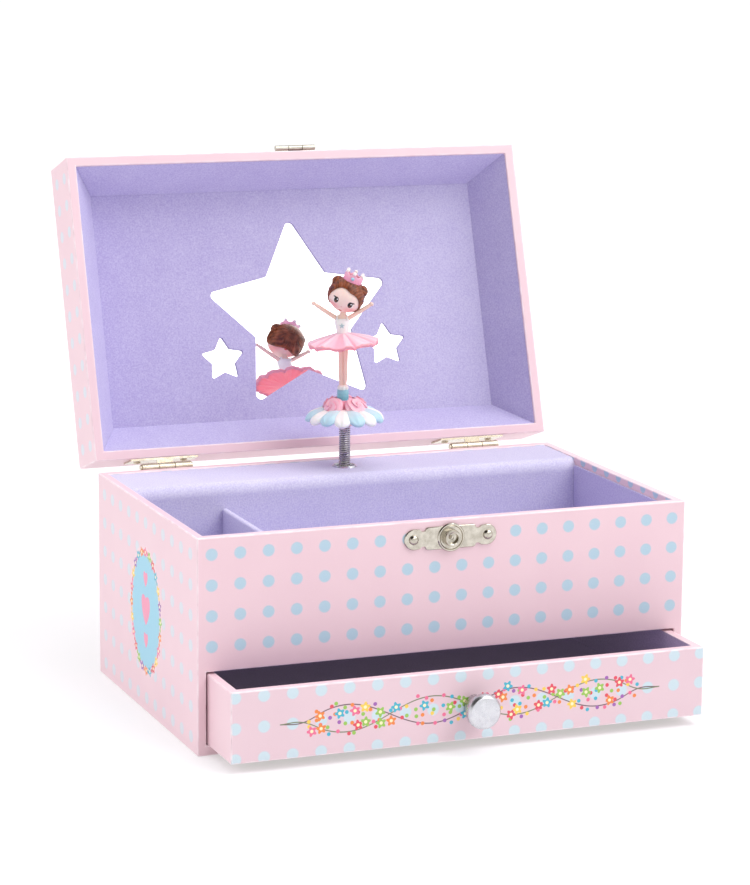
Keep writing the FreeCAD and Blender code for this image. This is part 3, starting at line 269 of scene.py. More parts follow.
# Face paint: middle, half size and blur of each spot, from the middle of the head
FACE_SCALE = 10.0
CHEEK = ((3.9, -4.5), (2.4, 1.6), 0.8)
CHEEK_COVER = 0.7
EYE = ((3.2, -1.75), (1.15, 1.2), 0.1)
PUPIL = ((3.0, -1.65), (0.95, 1.25), 0.1)
LASH = ((3.65, -0.75), (0.95, 0.3), 0.25)
LASH_LEAN = 0.15
IRIS = ((3.0, -2.3), (0.5, 0.34), 0.3)
# The glint is a painted highlight, set to the same side in both eyes
GLINT = ((3.0, -1.3), (0.24, 0.24), 0.1)
GLINT_SHIFT = 0.35
MOUTH = ((0.0, -5.35), (0.7, 0.3), 0.25)
NOSE = ((0.0, -3.6), (0.32, 0.2), 0.5)

# Softened edges of the pieces that keep their own solid, with the weld in metres
KEPT_ROUND = {
    "tray_divider": 0.9, "movement_cover": 0.8, "tray_wall_lining": 0.3, "tray_floor_lining": 0.2,
    "lid_lining_front": 0.3, "lid_lining_right": 0.3, "lid_lining_rear": 0.3, "lid_lining_left": 0.3,
    "hinge_case_leaves": 0.12, "hinge_lid_leaves": 0.12, "hasp_plate": 0.12, "hasp_tongue": 0.15,
    "winding_key": 0.35, "tray_deck": 0.2, "drawer_bottom": 0.2, "drawer_lining": 0.15,
}
KEPT_WELD = 0.00001
KEPT_FLAT = math.radians(1)
KEPT_FOLD = math.radians(30)

joints = {joint["name"]: joint for joint in frame["joints"]}
slots = {part["node"]: part["material_slot"] for part in frame["record"]["subparts"]}
lid_pivot = Vector(joints["lid_hinge"]["pos_m"]) / MM
lid_swing = Matrix.Rotation(math.radians(joints["lid_hinge"]["range_deg"][0]), 4, "X")
LID_OPEN = Matrix.Translation(lid_pivot) @ lid_swing @ Matrix.Translation(-lid_pivot)
LID_SHUT = LID_OPEN.inverted()
figure_foot = Vector(joints["dancer_turn"]["pos_m"]) / MM


def corners(node):
    """Lowest and highest corner of a node at rest, in millimetres."""
    low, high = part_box(node)
    return low / MM, high / MM


def shut_corners(*nodes):
    """Lowest and highest corner of lid nodes with the lid shut, in millimetres."""
    points = []
    for name in nodes:
        points.extend(LID_SHUT @ (vertex.co / MM) for vertex in frame["nodes"][name].data.vertices)
    low = Vector([min(point[i] for point in points) for i in range(3)])
    high = Vector([max(point[i] for point in points) for i in range(3)])
    return low, high


cover_top = corners("movement_cover")[1].z
SPRING_FOOT = Matrix.Translation((figure_foot.x, figure_foot.y, cover_top))
FIGURE = SPRING_FOOT @ Matrix.Rotation(FIGURE_YAW, 4, "Z")
HEAD = FIGURE @ Matrix.Translation(HEAD_AT) @ Matrix.Rotation(HEAD_TILT, 4, "Y")


# Shader helpers
class Wire:
    """A value in a shader's node tree; each sum with it is a node."""

    def __init__(self, tree, socket):
        self.tree = tree
        self.socket = socket

    def maths(self, operation, other=0.0):
        return wire(self.tree, "Math", 0, {0: self, 1: other}, operation=operation)

    def vector(self, operation, other=(0.0, 0.0, 0.0)):
        output = "Value" if operation in ("LENGTH", "DISTANCE") else "Vector"
        return wire(self.tree, "VectorMath", output, {0: self, 1: other}, operation=operation)

    def split(self, kind="SeparateXYZ"):
        return [Wire(self.tree, output) for output in add(self.tree, kind, {0: self}).outputs]

    def __abs__(self):
        return self.maths("ABSOLUTE")

    def __add__(self, other):
        return self.maths("ADD", other)

    def __sub__(self, other):
        return self.maths("SUBTRACT", other)

    def __mul__(self, other):
        return self.maths("MULTIPLY", other)

    def __truediv__(self, other):
        return self.maths("DIVIDE", other)


def rgb(red, green, blue):
    """Linear colour from display values of 0 to 255."""
    out = []
    for value in (red, green, blue):
        share = value / 255
        out.append(share / 12.92 if share <= 0.04045 else ((share + 0.055) / 1.055) ** 2.4)
    return (*out, 1.0)


def put(socket, value):
    """Links a socket to a wire, or sets its value."""
    if isinstance(value, Wire):
        value.tree.links.new(value.socket, socket)
    else:
        socket.default_value = value


def add(tree, kind, inputs=None, **settings):
    """A shader node with its settings and inputs."""
    made = tree.nodes.new("ShaderNode" + kind)
    for key, value in settings.items():
        setattr(made, key, value)
    for key, value in (inputs or {}).items():
        put(made.inputs[key], value)
    return made


def wire(tree, kind, output=0, inputs=None, **settings):
    """One output of a new shader node."""
    return Wire(tree, add(tree, kind, inputs, **settings).outputs[output])


def mix(share, first, second):
    """A colour between two."""
    return wire(share.tree, "Mix", 2, {0: share, 6: first, 7: second}, data_type="RGBA")


def inside(value, edge, blur, most=1.0):
    """Most where a value is below an edge, falling to zero above it."""
    inputs = {"Value": value, "From Min": edge - blur, "From Max": edge + blur, "To Min": most, "To Max": 0.0}
    return wire(value.tree, "MapRange", 0, inputs, interpolation_type="SMOOTHSTEP")


def between(value, low, high, least=0.0, most=1.0):
    """Goes from least, where a value is low, to most, where it is high."""
    inputs = {"Value": value, "From Min": low, "From Max": high, "To Min": least, "To Max": most}
    return wire(value.tree, "MapRange", 0, inputs)


def grain(place, size, detail=3.0, stretch=None):
    """Noise with a grain of the given size in millimetres."""
    if stretch is not None:
        place = place.vector("MULTIPLY", stretch)
    return wire(place.tree, "TexNoise", 0, {"Vector": place, "Scale": 1 / (size * MM), "Detail": detail})


def bump(height, strength, depth):
    """Normals bumped by a height, with the depth in millimetres."""
    return wire(height.tree, "Bump", 0, {"Height": height, "Strength": strength, "Distance": depth * MM})


def fresh(name):
    """A new material and its coordinates at rest."""
    material = bpy.data.materials.new(name)
    material.use_nodes = True
    return material, wire(material.node_tree, "TexCoord", "Object")


def finish(material, **values):
    """Sets or links sockets of a material's shader, named with underscores for spaces."""
    sockets = material.node_tree.nodes["Principled BSDF"].inputs
    for key, value in values.items():
        put(sockets[key.replace("_", " ")], value)
    return material


# Inks and paints
PINK = rgb(240, 208, 216)
PINK_DEEP = rgb(233, 199, 209)
PINK_EDGE = rgb(253, 236, 241)
DOT_BLUE = rgb(180, 206, 222)
DOT_PALE = rgb(204, 221, 230)
# Dots paled for the side walls: painted reflection of glare on the varnished paper
DOT_GLARE_PALE = rgb(214, 217, 226)
MEDAL_BLUE = rgb(150, 206, 228)
HEART_PINK = rgb(240, 148, 178)
STEM_GREEN = rgb(118, 128, 92)
STEM_BROWN = rgb(110, 84, 92)
FLOWER_EYE = rgb(253, 240, 196)
PALETTE = (
    rgb(239, 134, 62), rgb(247, 206, 84), rgb(151, 196, 83), rgb(66, 178, 204),
    rgb(236, 110, 148), rgb(160, 94, 176), rgb(226, 74, 92),
)
LAVENDER = rgb(208, 202, 233)
LAVENDER_DEEP = rgb(179, 168, 216)
LAVENDER_SHEEN = rgb(240, 235, 255)
EYE_BLACK = rgb(20, 11, 10)
WHITE = rgb(250, 247, 246)
PETAL_BLUE = rgb(190, 225, 238)
PETAL_PINK = rgb(250, 206, 208)
ROSE = rgb(254, 186, 207)
ROSE_DEEP = rgb(247, 146, 176)
TEAL = rgb(106, 194, 212)
SKIN = rgb(249, 216, 200)
SKIN_DEEP = rgb(252, 213, 201)
TUTU_PINK = rgb(238, 160, 184)
TUTU_PALE = rgb(250, 214, 226)
CORAL = rgb(255, 142, 150)
SILVER = rgb(176, 196, 206)
BROWN = rgb(156, 86, 56)
BROWN_DEEP = rgb(84, 39, 24)
CROWN_PINK = rgb(240, 148, 184)
PEARL = rgb(255, 240, 240)
GEM_BLUE = rgb(170, 206, 226)


# Prints on the paper
def polka(tree):
    """Mask of the printed dots, from the sheet's own coordinates."""
    half = (0.5, 0.5, 0.0)
    cell = wire(tree, "UVMap", uv_map="sheet").vector("ADD", half).vector("FRACTION")
    offset = cell.vector("SUBTRACT", half).vector("MULTIPLY", (DOT_PITCH_U, DOT_PITCH_V, 0.0))
    return inside(offset.vector("LENGTH"), DOT_R, DOT_BLUR)


def palette(value):
    """One of the print's inks, picked by a value from 0 to 1."""
    made = add(value.tree, "ValToRGB", {0: value})
    ramp = made.color_ramp
    ramp.interpolation = "CONSTANT"
    ramp.elements[1].position = 1 / len(PALETTE)
    for i in range(2, len(PALETTE)):
        ramp.elements.new(i / len(PALETTE))
    for element, ink in zip(ramp.elements, PALETTE):
        element.color = ink
    return Wire(value.tree, made.outputs[0])


def on_wall(place, axis, middle):
    """Millimetres along a wall, millimetres up from a height, and both as a flat point."""
    axes = place.split()
    along = axes[axis] / MM
    rise = axes[2] / MM - middle
    return along, rise, wire(place.tree, "CombineXYZ", 0, {0: along, 1: rise})


def blossom(offset, turn, radius):
    """Masks of a five-petalled flower and of its eye."""
    across, rise, _ = offset.split()
    swing = rise.maths("ARCTAN2", across) * BLOSSOM_PETALS + turn * (2 * math.pi)
    edge = swing.maths("COSINE") * (BLOSSOM_LOBE * radius) + BLOSSOM_MEAN * radius
    reach = offset.vector("LENGTH")
    return inside(reach - edge, 0.0, PETAL_BLUR), inside(reach, BLOSSOM_EYE * radius, PRINT_BLUR)


def heart(across, rise, size):
    """Mask of a heart of the given half width."""
    x = across / size
    lean = rise / size - abs(x) * HEART_LEAN
    return inside(x * x + lean * lean, 1.0, HEART_BLUR)


def on_wreath(flat, angle, shift):
    """Offset from the nearest of the wreath's even places, and a value from 0 to 1 for that place."""
    step = 2 * math.pi / WREATH_COUNT
    number = (angle / step - shift).maths("ROUND")
    at = (number + shift) * step
    middle = {0: at.maths("COSINE") * WREATH_HALF[0], 1: at.maths("SINE") * WREATH_HALF[1]}
    pick = number.maths("FLOORED_MODULO", WREATH_COUNT) * WREATH_MIX
    return flat.vector("SUBTRACT", wire(flat.tree, "CombineXYZ", 0, middle)), pick.maths("FRACT")


def medallion(place, colour):
    """Oval with a column of hearts, in a wreath of flowers with a bud between each two."""
    across, rise, flat = on_wall(place, 1, MEDAL_Z)
    oval = flat.vector("MULTIPLY", (1 / MEDAL_HALF[0], 1 / MEDAL_HALF[1], 0.0))
    depth = oval.vector("LENGTH") - 1.0
    colour = mix(inside(depth, MEDAL_MARGIN, MARGIN_BLUR), colour, PINK)
    colour = mix(inside(depth, 0.0, MEDAL_BLUR), colour, MEDAL_BLUE)
    for at, size in HEARTS:
        colour = mix(heart(across, rise - at, size), colour, HEART_PINK)
    wreath = flat.vector("MULTIPLY", (1 / WREATH_HALF[0], 1 / WREATH_HALF[1], 0.0))
    off = abs(wreath.vector("LENGTH") - 1.0)
    colour = mix(inside(off, MEDAL_STEM, MEDAL_BLUR), colour, STEM_GREEN)
    parts = wreath.split()
    angle = parts[1].maths("ARCTAN2", parts[0])
    offset, pick = on_wreath(flat, angle, 0.5)
    colour = mix(inside(offset.vector("LENGTH"), BUD_R, PRINT_BLUR), colour, palette(pick))
    offset, pick = on_wreath(flat, angle, 0.0)
    flower, eye = blossom(offset, pick, BLOSSOM_R)
    return mix(eye, mix(flower, colour, palette(pick)), FLOWER_EYE)


def sprigs(flat, size):
    """Scattered places in the garland's band: offset from one, whether it is in use, random values."""
    inputs = {"Vector": flat, "Scale": 1 / size, "Randomness": SPRIG_SPREAD}
    cells = add(flat.tree, "TexVoronoi", inputs, voronoi_dimensions="2D")
    middle = Wire(flat.tree, cells.outputs["Position"])
    chance = Wire(flat.tree, cells.outputs["Color"]).split("SeparateColor")
    along, rise, _ = middle.split()
    wave = abs((along * GARLAND_BEAT).maths("SINE"))
    swell = wave * (GARLAND_RISE * 0.8) + (GARLAND_BAND - GARLAND_RISE * 0.9)
    shown = abs(rise).maths("LESS_THAN", swell) * abs(along).maths("LESS_THAN", GARLAND_X)
    return flat.vector("SUBTRACT", middle), shown, chance


def garland(place, colour):
    """Two braided stems with buds and flowers along them."""
    along, rise, flat = on_wall(place, 0, DRAWER_DOT[1])
    within = inside(abs(along), GARLAND_X + GARLAND_TAIL, END_BLUR)
    wave = (along * GARLAND_BEAT).maths("SINE") * inside(abs(along), GARLAND_X, GARLAND_TAIL)
    for height, ink in ((GARLAND_RISE, STEM_BROWN), (-GARLAND_RISE, STEM_GREEN)):
        stem = inside(abs(rise - wave * height), GARLAND_LINE, PRINT_BLUR)
        colour = mix(stem * within, colour, ink)
    offset, shown, chance = sprigs(flat, BUD_CELL)
    bud = inside(offset.vector("LENGTH"), BUD_R, PRINT_BLUR)
    colour = mix(bud * shown, colour, palette(chance[0]))
    offset, shown, chance = sprigs(flat, BLOSSOM_CELL)
    shown = shown * chance[2].maths("GREATER_THAN", BLOSSOM_GAPS)
    flower, eye = blossom(offset, chance[1], BLOSSOM_R)
    colour = mix(flower * shown, colour, palette(chance[0]))
    return mix(eye * shown, colour, FLOWER_EYE)


# Materials
def paper(name, print_on=None, dot=DOT_BLUE, light=PINK, dark=PINK_DEEP):
    """Printed and varnished paper with a fine fibre, slightly rubbed along folded edges."""
    material, place = fresh(name)
    fibre = grain(place, size=0.45, detail=4.0)
    colour = mix(grain(place, size=22.0, detail=2.0), light, dark)
    colour = mix(polka(place.tree), colour, dot)
    if print_on is not None:
        colour = print_on(place, colour)
    colour = mix(between(fibre, 0.55, 0.85, most=0.16), colour, PINK_EDGE)
    edge = wire(place.tree, "Attribute", "Fac", attribute_name="edge")
    rubbed = edge * between(grain(place, size=5.0), 0.25, 0.75)
    finish(material, Base_Color=mix(rubbed, colour, PINK_EDGE), Roughness=between(fibre, -0.6, 2.0))
    finish(material, Specular_IOR_Level=0.5, Coat_Weight=0.12, Coat_Roughness=0.3)
    return finish(material, Normal=bump(fibre, strength=0.2, depth=0.04))


def board(name, light, dark):
    """Bare pressed board with chips of fibre."""
    material, place = fresh(name)
    chips = grain(place, size=1.6, detail=5.0, stretch=(1.0, 0.35, 1.0))
    finish(material, Base_Color=mix(chips, light, dark), Roughness=between(chips, -1.5, 1.2))
    return finish(material, Normal=bump(chips, strength=0.4, depth=0.1))


def flock(name, light, dark, sheen, painted_shade=0.0):
    """Short upright fibres: speckle, brushed patches, a pale sheen, and painted shade that darkens it towards the
    left, by a share per metre.
    """
    material, place = fresh(name)
    fine = grain(place, size=0.65, detail=5.0)
    brushed = grain(place, size=11.0, stretch=(1.0, 0.5, 1.0))
    share = between(fine, 0.33, 0.67, most=0.78) + between(brushed, 0.25, 0.75, most=0.22)
    # Painted shade: the colour darkens towards the left and lightens towards the right
    if painted_shade:
        share = share - place.split()[0] * painted_shade
    finish(material, Base_Color=mix(share, light, dark), Roughness=between(fine, -3.0, 0.9))
    finish(material, Specular_IOR_Level=0.15, Sheen_Weight=1.0, Sheen_Roughness=0.3, Sheen_Tint=sheen)
    return finish(material, Normal=bump(fine, strength=0.55, depth=0.22))


def metal(name, light, dark, smooth, rough, stretch=(1.0, 1.0, 1.0)):
    """Plated or bare metal with a cloudy polish and fine scratches."""
    material, place = fresh(name)
    cloud = grain(place, size=2.4, detail=4.0, stretch=stretch)
    scratch = grain(place, size=0.3, detail=2.0, stretch=(1.0, 0.08, 1.0))
    finish(material, Base_Color=mix(between(cloud, 0.3, 0.75), light, dark), Metallic=1.0)
    finish(material, Roughness=between(cloud, 0.3, 0.7, smooth, rough))
    return finish(material, Normal=bump(scratch, strength=0.06, depth=0.03))


def mirror(name, light, dark):
    """Silvered plastic sheet with faint smudges and a slight bow."""
    material, place = fresh(name)
    smudge = grain(place, size=9.0)
    finish(material, Base_Color=mix(smudge, light, dark), Metallic=1.0)
    bow = place.vector("ADD", MIRROR_BOW_FROM).vector("MULTIPLY", MIRROR_BOW)
    bowed = wire(place.tree, "NewGeometry", "Normal").vector("ADD", bow)
    return finish(material, Roughness=between(smudge, 0.4, 0.8, most=0.04), Normal=bowed.vector("NORMALIZE"))


def plastic(name, light, dark):
    """Moulded plastic with a faint flow pattern."""
    material, place = fresh(name)
    flow = grain(place, size=1.8)
    finish(material, Base_Color=mix(flow, light, dark), Roughness=between(flow, -0.6, 1.8))
    return finish(material, Normal=bump(flow, strength=0.1, depth=0.05))


def hand_paint(name, thinned=0.14, rough_low=-0.5, rough_high=1.7, gloss=0.5):
    """Hand-painted plastic: the paint is stored on the mesh, and thins a little in brush marks."""
    material, place = fresh(name)
    paint = wire(place.tree, "Attribute", "Color", attribute_name="paint")
    brush = grain(place, size=0.9, detail=4.0)
    thin = between(brush, 0.5, 0.85, most=thinned)
    finish(material, Base_Color=mix(thin, paint, rgb(255, 246, 244)))
    finish(material, Roughness=between(brush, rough_low, rough_high), Specular_IOR_Level=gloss)
    finish(material, Subsurface_Weight=0.08, Subsurface_Scale=0.002, Coat_Weight=0.12, Coat_Roughness=0.35)
    return finish(material, Normal=bump(brush, strength=0.12, depth=0.06))


def spot(face, colour, shape, ink, side=1, lean=0.0, shift=0.0, cover=1.0):
    """Lays a painted ellipse over a colour, on one side of the face."""
    (x, z), half, blur = shape
    inputs = {"Vector": face, "Location": (side * x + shift, z, 0.0)}
    inputs.update({"Rotation": (0.0, 0.0, side * lean), "Scale": (*half, 1.0)})
    mapped = wire(face.tree, "Mapping", 0, inputs, vector_type="TEXTURE")
    return mix(inside(mapped.vector("LENGTH"), 1.0, blur, cover), colour, ink)


def face_paint(name):
    """Painted doll's face: cheeks, eyes, lashes, mouth and nose."""
    material, place = fresh(name)
    brush = grain(place, size=1.1)
    colour = mix(brush, rgb(254, 228, 219), rgb(250, 217, 208))
    face = wire(place.tree, "UVMap", uv_map="face").vector("MULTIPLY", (FACE_SCALE, FACE_SCALE, 0.0))
    for side in (-1, 1):
        colour = spot(face, colour, CHEEK, rgb(243, 146, 146), side, cover=CHEEK_COVER)
        colour = spot(face, colour, EYE, rgb(252, 244, 240), side)
        colour = spot(face, colour, PUPIL, EYE_BLACK, side)
        colour = spot(face, colour, LASH, EYE_BLACK, side, lean=LASH_LEAN)
        colour = spot(face, colour, IRIS, rgb(112, 68, 50), side)
        colour = spot(face, colour, GLINT, rgb(255, 255, 255), side, shift=GLINT_SHIFT)
    colour = spot(face, colour, MOUTH, rgb(206, 84, 84))
    colour = spot(face, colour, NOSE, rgb(236, 176, 164))
    finish(material, Base_Color=colour, Roughness=between(brush, -0.5, 1.7))
    finish(material, Subsurface_Weight=0.1, Subsurface_Scale=0.002, Coat_Weight=0.1, Coat_Roughness=0.35)
    return finish(material, Normal=bump(brush, strength=0.06, depth=0.05))


surfaces = {
    "pink_paper_board": paper("paper_dotted"),
    "grey_board": board("bare_board", rgb(176, 164, 154), rgb(138, 126, 118)),
    "lavender_flock": flock("flock_lavender", LAVENDER, LAVENDER_DEEP, LAVENDER_SHEEN),
    "aubergine_flock": flock("flock_aubergine_glow", rgb(204, 190, 222), rgb(178, 163, 198), rgb(226, 218, 240)),
    "mirror": mirror("mirror_sheet", rgb(252, 252, 253), rgb(246, 247, 250)),
    "nickel": metal("nickel_plate", rgb(208, 202, 190), rgb(172, 165, 152), 0.08, 0.22),
    "pale_brass": metal("brass_plate_pale", rgb(216, 205, 186), rgb(188, 174, 152), 0.16, 0.3),
    "steel": metal("bright_steel", rgb(203, 198, 202), rgb(166, 162, 167), 0.18, 0.34, (1.0, 1.0, 0.2)),
    "zinc_casting": metal("zinc_cast", rgb(182, 183, 186), rgb(142, 144, 148), 0.42, 0.62),
    "brass": metal("turned_brass", rgb(224, 190, 116), rgb(198, 160, 84), 0.2, 0.36, (0.2, 1.0, 1.0)),
    "white_nylon": plastic("nylon_white", rgb(242, 240, 234), rgb(232, 229, 221)),
    "blue_and_white_plastic": hand_paint("paint_petals"),
    "pink_plastic": hand_paint("paint_pink"),
    "skin_plastic": hand_paint("paint_skin"),
    "white_plastic": hand_paint("paint_bodice"),
}
# Painted light inside the drawer: its lining is lighter than its own flock and glows faintly
finish(surfaces["aubergine_flock"], Emission_Color=(0.92, 0.8, 1.0, 1.0), Emission_Strength=0.026)
# The case's side walls print the medallion and have paled dots, a painted reflection of glare
paper_side = paper("paper_medallion", medallion, DOT_GLARE_PALE)
# The drawer's paper is a darker copy of the pink: painted shade on the drawer's face, besides its printed garland
# and paler dots
paper_drawer = paper("paper_garland", garland, DOT_PALE, rgb(233, 205, 213), rgb(226, 196, 206))
# The lid's side walls have paled dots, a painted reflection of glare
paper_lid = paper("paper_lid_walls", None, DOT_GLARE_PALE)
# A lighter copy of the lavender flock for the movement cover and tray divider: painted light in the tray's shade
flock_tray_painted_light = flock("flock_lavender_pale", rgb(226, 222, 243), rgb(199, 192, 228), LAVENDER_SHEEN)
# The lid's panel takes flock with painted shade from side to side
flock_panel = flock("flock_lavender_panel", LAVENDER, LAVENDER_DEEP, LAVENDER_SHEEN, PANEL_PAINTED_SHADE)
nickel_knob = metal("nickel_polished", rgb(214, 214, 218), rgb(200, 200, 206), 0.2, 0.34)
# Near-black metal for the grommet's bore: painted shade in the hole
bore_shade_metal = metal("steel_dark_bore_shade", rgb(52, 50, 52), rgb(34, 32, 34), 0.4, 0.6)
face_surface = face_paint("paint_face")
hair_surface = hand_paint("paint_hair", thinned=0.03, rough_low=0.05, rough_high=1.4, gloss=0.28)
# The tutu's underside glows faintly coral: painted light for the side the mirror shows
glowing_tutu_under = hand_paint("paint_tutu_under")
finish(glowing_tutu_under, Emission_Color=(1.0, 0.2, 0.17, 1.0), Emission_Strength=0.27)


# Mesh helpers
def turns(steps):
    """Angles of even steps round a circle."""
    return [2 * math.pi * i / steps for i in range(steps)]


def shares(count):
    """Even shares from 0 to 1."""
    return [i / (count - 1) for i in range(count)]


def swung(reach, angle, height=0.0):
    """A point by its reach, its angle round the upright axis and its height."""
    return Vector((reach * math.cos(angle), reach * math.sin(angle), height))


def ring(radius, height, steps):
    """A level circle of points."""
    return [swung(radius, a, height) for a in turns(steps)]


def skin(bm, rows, capped=True):
    """Faces over rows of points, wrapped round each row."""
    rings = [[bm.verts.new(point) for point in row] for row in rows]
    count = len(rings[0])
    for lower, upper in zip(rings, rings[1:]):
        for i in range(count):
            j = (i + 1) % count
            bm.faces.new((lower[i], lower[j], upper[j], upper[i]))
    if capped:
        bm.faces.new(rings[0])
        bm.faces.new(rings[-1])
    return rings


def lathe(bm, profile, steps, place=Matrix()):
    """A closed turned form from pairs of radius and height."""
    return skin(bm, [[place @ point for point in ring(radius, height, steps)] for radius, height in profile])


def tube(bm, path, radii, steps, flat=1.0):
    """A round or flattened tube along points, capped at both ends."""
    rows = []
    side = Vector((0.0, 1.0, 0.0))
    for i, point in enumerate(path):
        ahead = (path[min(i + 1, len(path) - 1)] - path[max(i - 1, 0)]).normalized()
        side = (side - ahead * side.dot(ahead)).normalized()
        other = ahead.cross(side)
        circle = ring(radii[i], 0.0, steps)
        rows.append([point + side * (at.x * flat) + other * at.y for at in circle])
    return skin(bm, rows)


def smooth_path(points, count):
    """Points on a Catmull-Rom curve through the given ones."""
    ends = [points[0] * 2 - points[1], *points, points[-1] * 2 - points[-2]]
    out = []
    for share in shares(count):
        at = share * (len(points) - 1)
        k = min(int(at), len(points) - 2)
        t = at - k
        a, b, c, d = ends[k:k + 4]
        square = (2 * a - 5 * b + 4 * c - d) * t ** 2
        cube = (3 * b - a - 3 * c + d) * t ** 3
        out.append(0.5 * (2 * b + (c - a) * t + square + cube))
    return out


def painted_mesh():
    """An empty mesh with a layer for its paint."""
    bm = bmesh.new()
    bm.verts.layers.float_color.new("paint")
    return bm


def dab(bm, rings, colour):
    """Paints rows of vertices: one colour, or a function of row share, vertex, row and step."""
    layer = bm.verts.layers.float_color["paint"]
    for i, row in enumerate(rings):
        for k, vertex in enumerate(row):
            share = i / (len(rings) - 1)
            vertex[layer] = colour(share, vertex, i, k) if callable(colour) else colour


def shade(first, second, share):
    """A colour between two."""
    share = min(1.0, max(0.0, share))
    return tuple(a + (b - a) * share for a, b in zip(first, second))


def placed(name, data):
    """A new object in the scene."""
    made = bpy.data.objects.new(name, data)
    bpy.context.scene.collection.objects.link(made)
    return made


def cast(name, bm):
    """A new object from a mesh in the making, which it uses up."""
    mesh = bpy.data.meshes.new(name)
    bm.to_mesh(mesh)
    bm.free()
    return placed(name, mesh)


def piece(name, bm, materials, body, nodes, place=Matrix(), angle=40.0):
    """An object in metres from a mesh in millimetres; it moves with a body and stands for nodes."""
    bmesh.ops.transform(bm, matrix=place, verts=bm.verts)
    bmesh.ops.scale(bm, vec=(MM, MM, MM), verts=bm.verts)
    bmesh.ops.recalc_face_normals(bm, faces=bm.faces)
    made = cast(name, bm)
    for material in materials:
        made.data.materials.append(material)
    made.data.shade_smooth()
    made.data.set_sharp_from_angle(angle=math.radians(angle))
    if body is not None:
        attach(made, body)
    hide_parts(*nodes)
    return made


def figure_piece(name, bm, slot, node, angle, place=FIGURE, materials=None):
    """A painted piece of the figure."""
    return piece(name, bm, materials or (surfaces[slot],), "dancer", (node,), place, angle)


def block(low, high):
    """A box object to cut with."""
    bm = bmesh.new()
    place = Matrix.Translation((low + high) / 2) @ Matrix.Diagonal((*(high - low), 1.0))
    bmesh.ops.create_cube(bm, size=1.0, matrix=place)
    return cast("cutting", bm)


def carved(low, high, cutters):
    """A box with other objects cut out of it, its edges softened and marked in its edge layer."""
    whole = block(low, high)
    for cutter in cutters:
        cut = whole.modifiers.new("cut", "BOOLEAN")
        cut.operation = "DIFFERENCE"
        cut.solver = "EXACT"
        cut.object = cutter
    bm = bmesh.new()
    bm.from_object(whole, bpy.context.evaluated_depsgraph_get())
    for spent in (whole, *cutters):
        bpy.data.objects.remove(spent)
    bmesh.ops.remove_doubles(bm, verts=bm.verts, dist=0.0001)
    bmesh.ops.dissolve_limit(bm, angle_limit=0.01, verts=bm.verts, edges=bm.edges)
    layer = bm.faces.layers.float.new("edge")
    folds = [edge for edge in bm.edges if edge.calc_face_angle(0.0) > 0.5]
    shape = {"offset": BOARD_ROUND, "segments": BOARD_STEPS, "profile": 0.5}
    softened = bmesh.ops.bevel(bm, geom=folds, affect="EDGES", clamp_overlap=True, **shape)
    for face in softened["faces"]:
        face[layer] = 1.0
    return bm


def lay_sheet(bm, project):
    """Gives each face its place on the printed sheet."""
    layer = bm.loops.layers.uv.new("sheet")
    for face in bm.faces:
        middle = face.calc_center_median()
        for loop in face.loops:
            u, v = project(loop.vert.co, face.normal, middle)
            loop[layer].uv = (u / DOT_PITCH_U, v / DOT_PITCH_V)


def flat_shaded(made):
    """Keeps flat faces flat beside softened edges."""
    made.modifiers.new("flat", "WEIGHTED_NORMAL").keep_sharp = False


def wall_of(normal, middle, low, high):
    """Whether a face is on a side wall, and how it faces: 1 outwards, 0 up or down, -1 inwards."""
    on_side = abs(normal.x) > abs(normal.y)
    if abs(normal.z) > STEEP:
        return on_side, 0
    outward = normal.x * middle.x if on_side else normal.y * (middle.y - (low.y + high.y) / 2)
    return on_side, 1 if outward > 0 else -1


# Case
wall_low, wall_high = corners("front_panel")
case_low = Vector((corners("left_side_panel")[0].x, wall_low.y, corners("base_panel")[0].z))
case_high = Vector((corners("right_side_panel")[1].x, corners("rear_panel")[1].y, wall_high.z))
side_t = corners("left_side_panel")[1].x - case_low.x
board_t = wall_high.y - case_low.y
base_top = corners("base_panel")[1].z
front_foot = wall_low.z


def case_sheet(co, normal, middle):
    """Place on a sheet that runs up a wall, over its rim and down inside."""
    on_side, facing = wall_of(normal, middle, case_low, case_high)
    if facing == 0:
        return PLAIN
    start = SIDE_DOT if on_side else FRONT_DOT
    along = co.y if on_side else co.x
    rise = co.z if facing > 0 else case_high.z + board_t + case_high.z - co.z
    return along - start[0], rise - start[1]


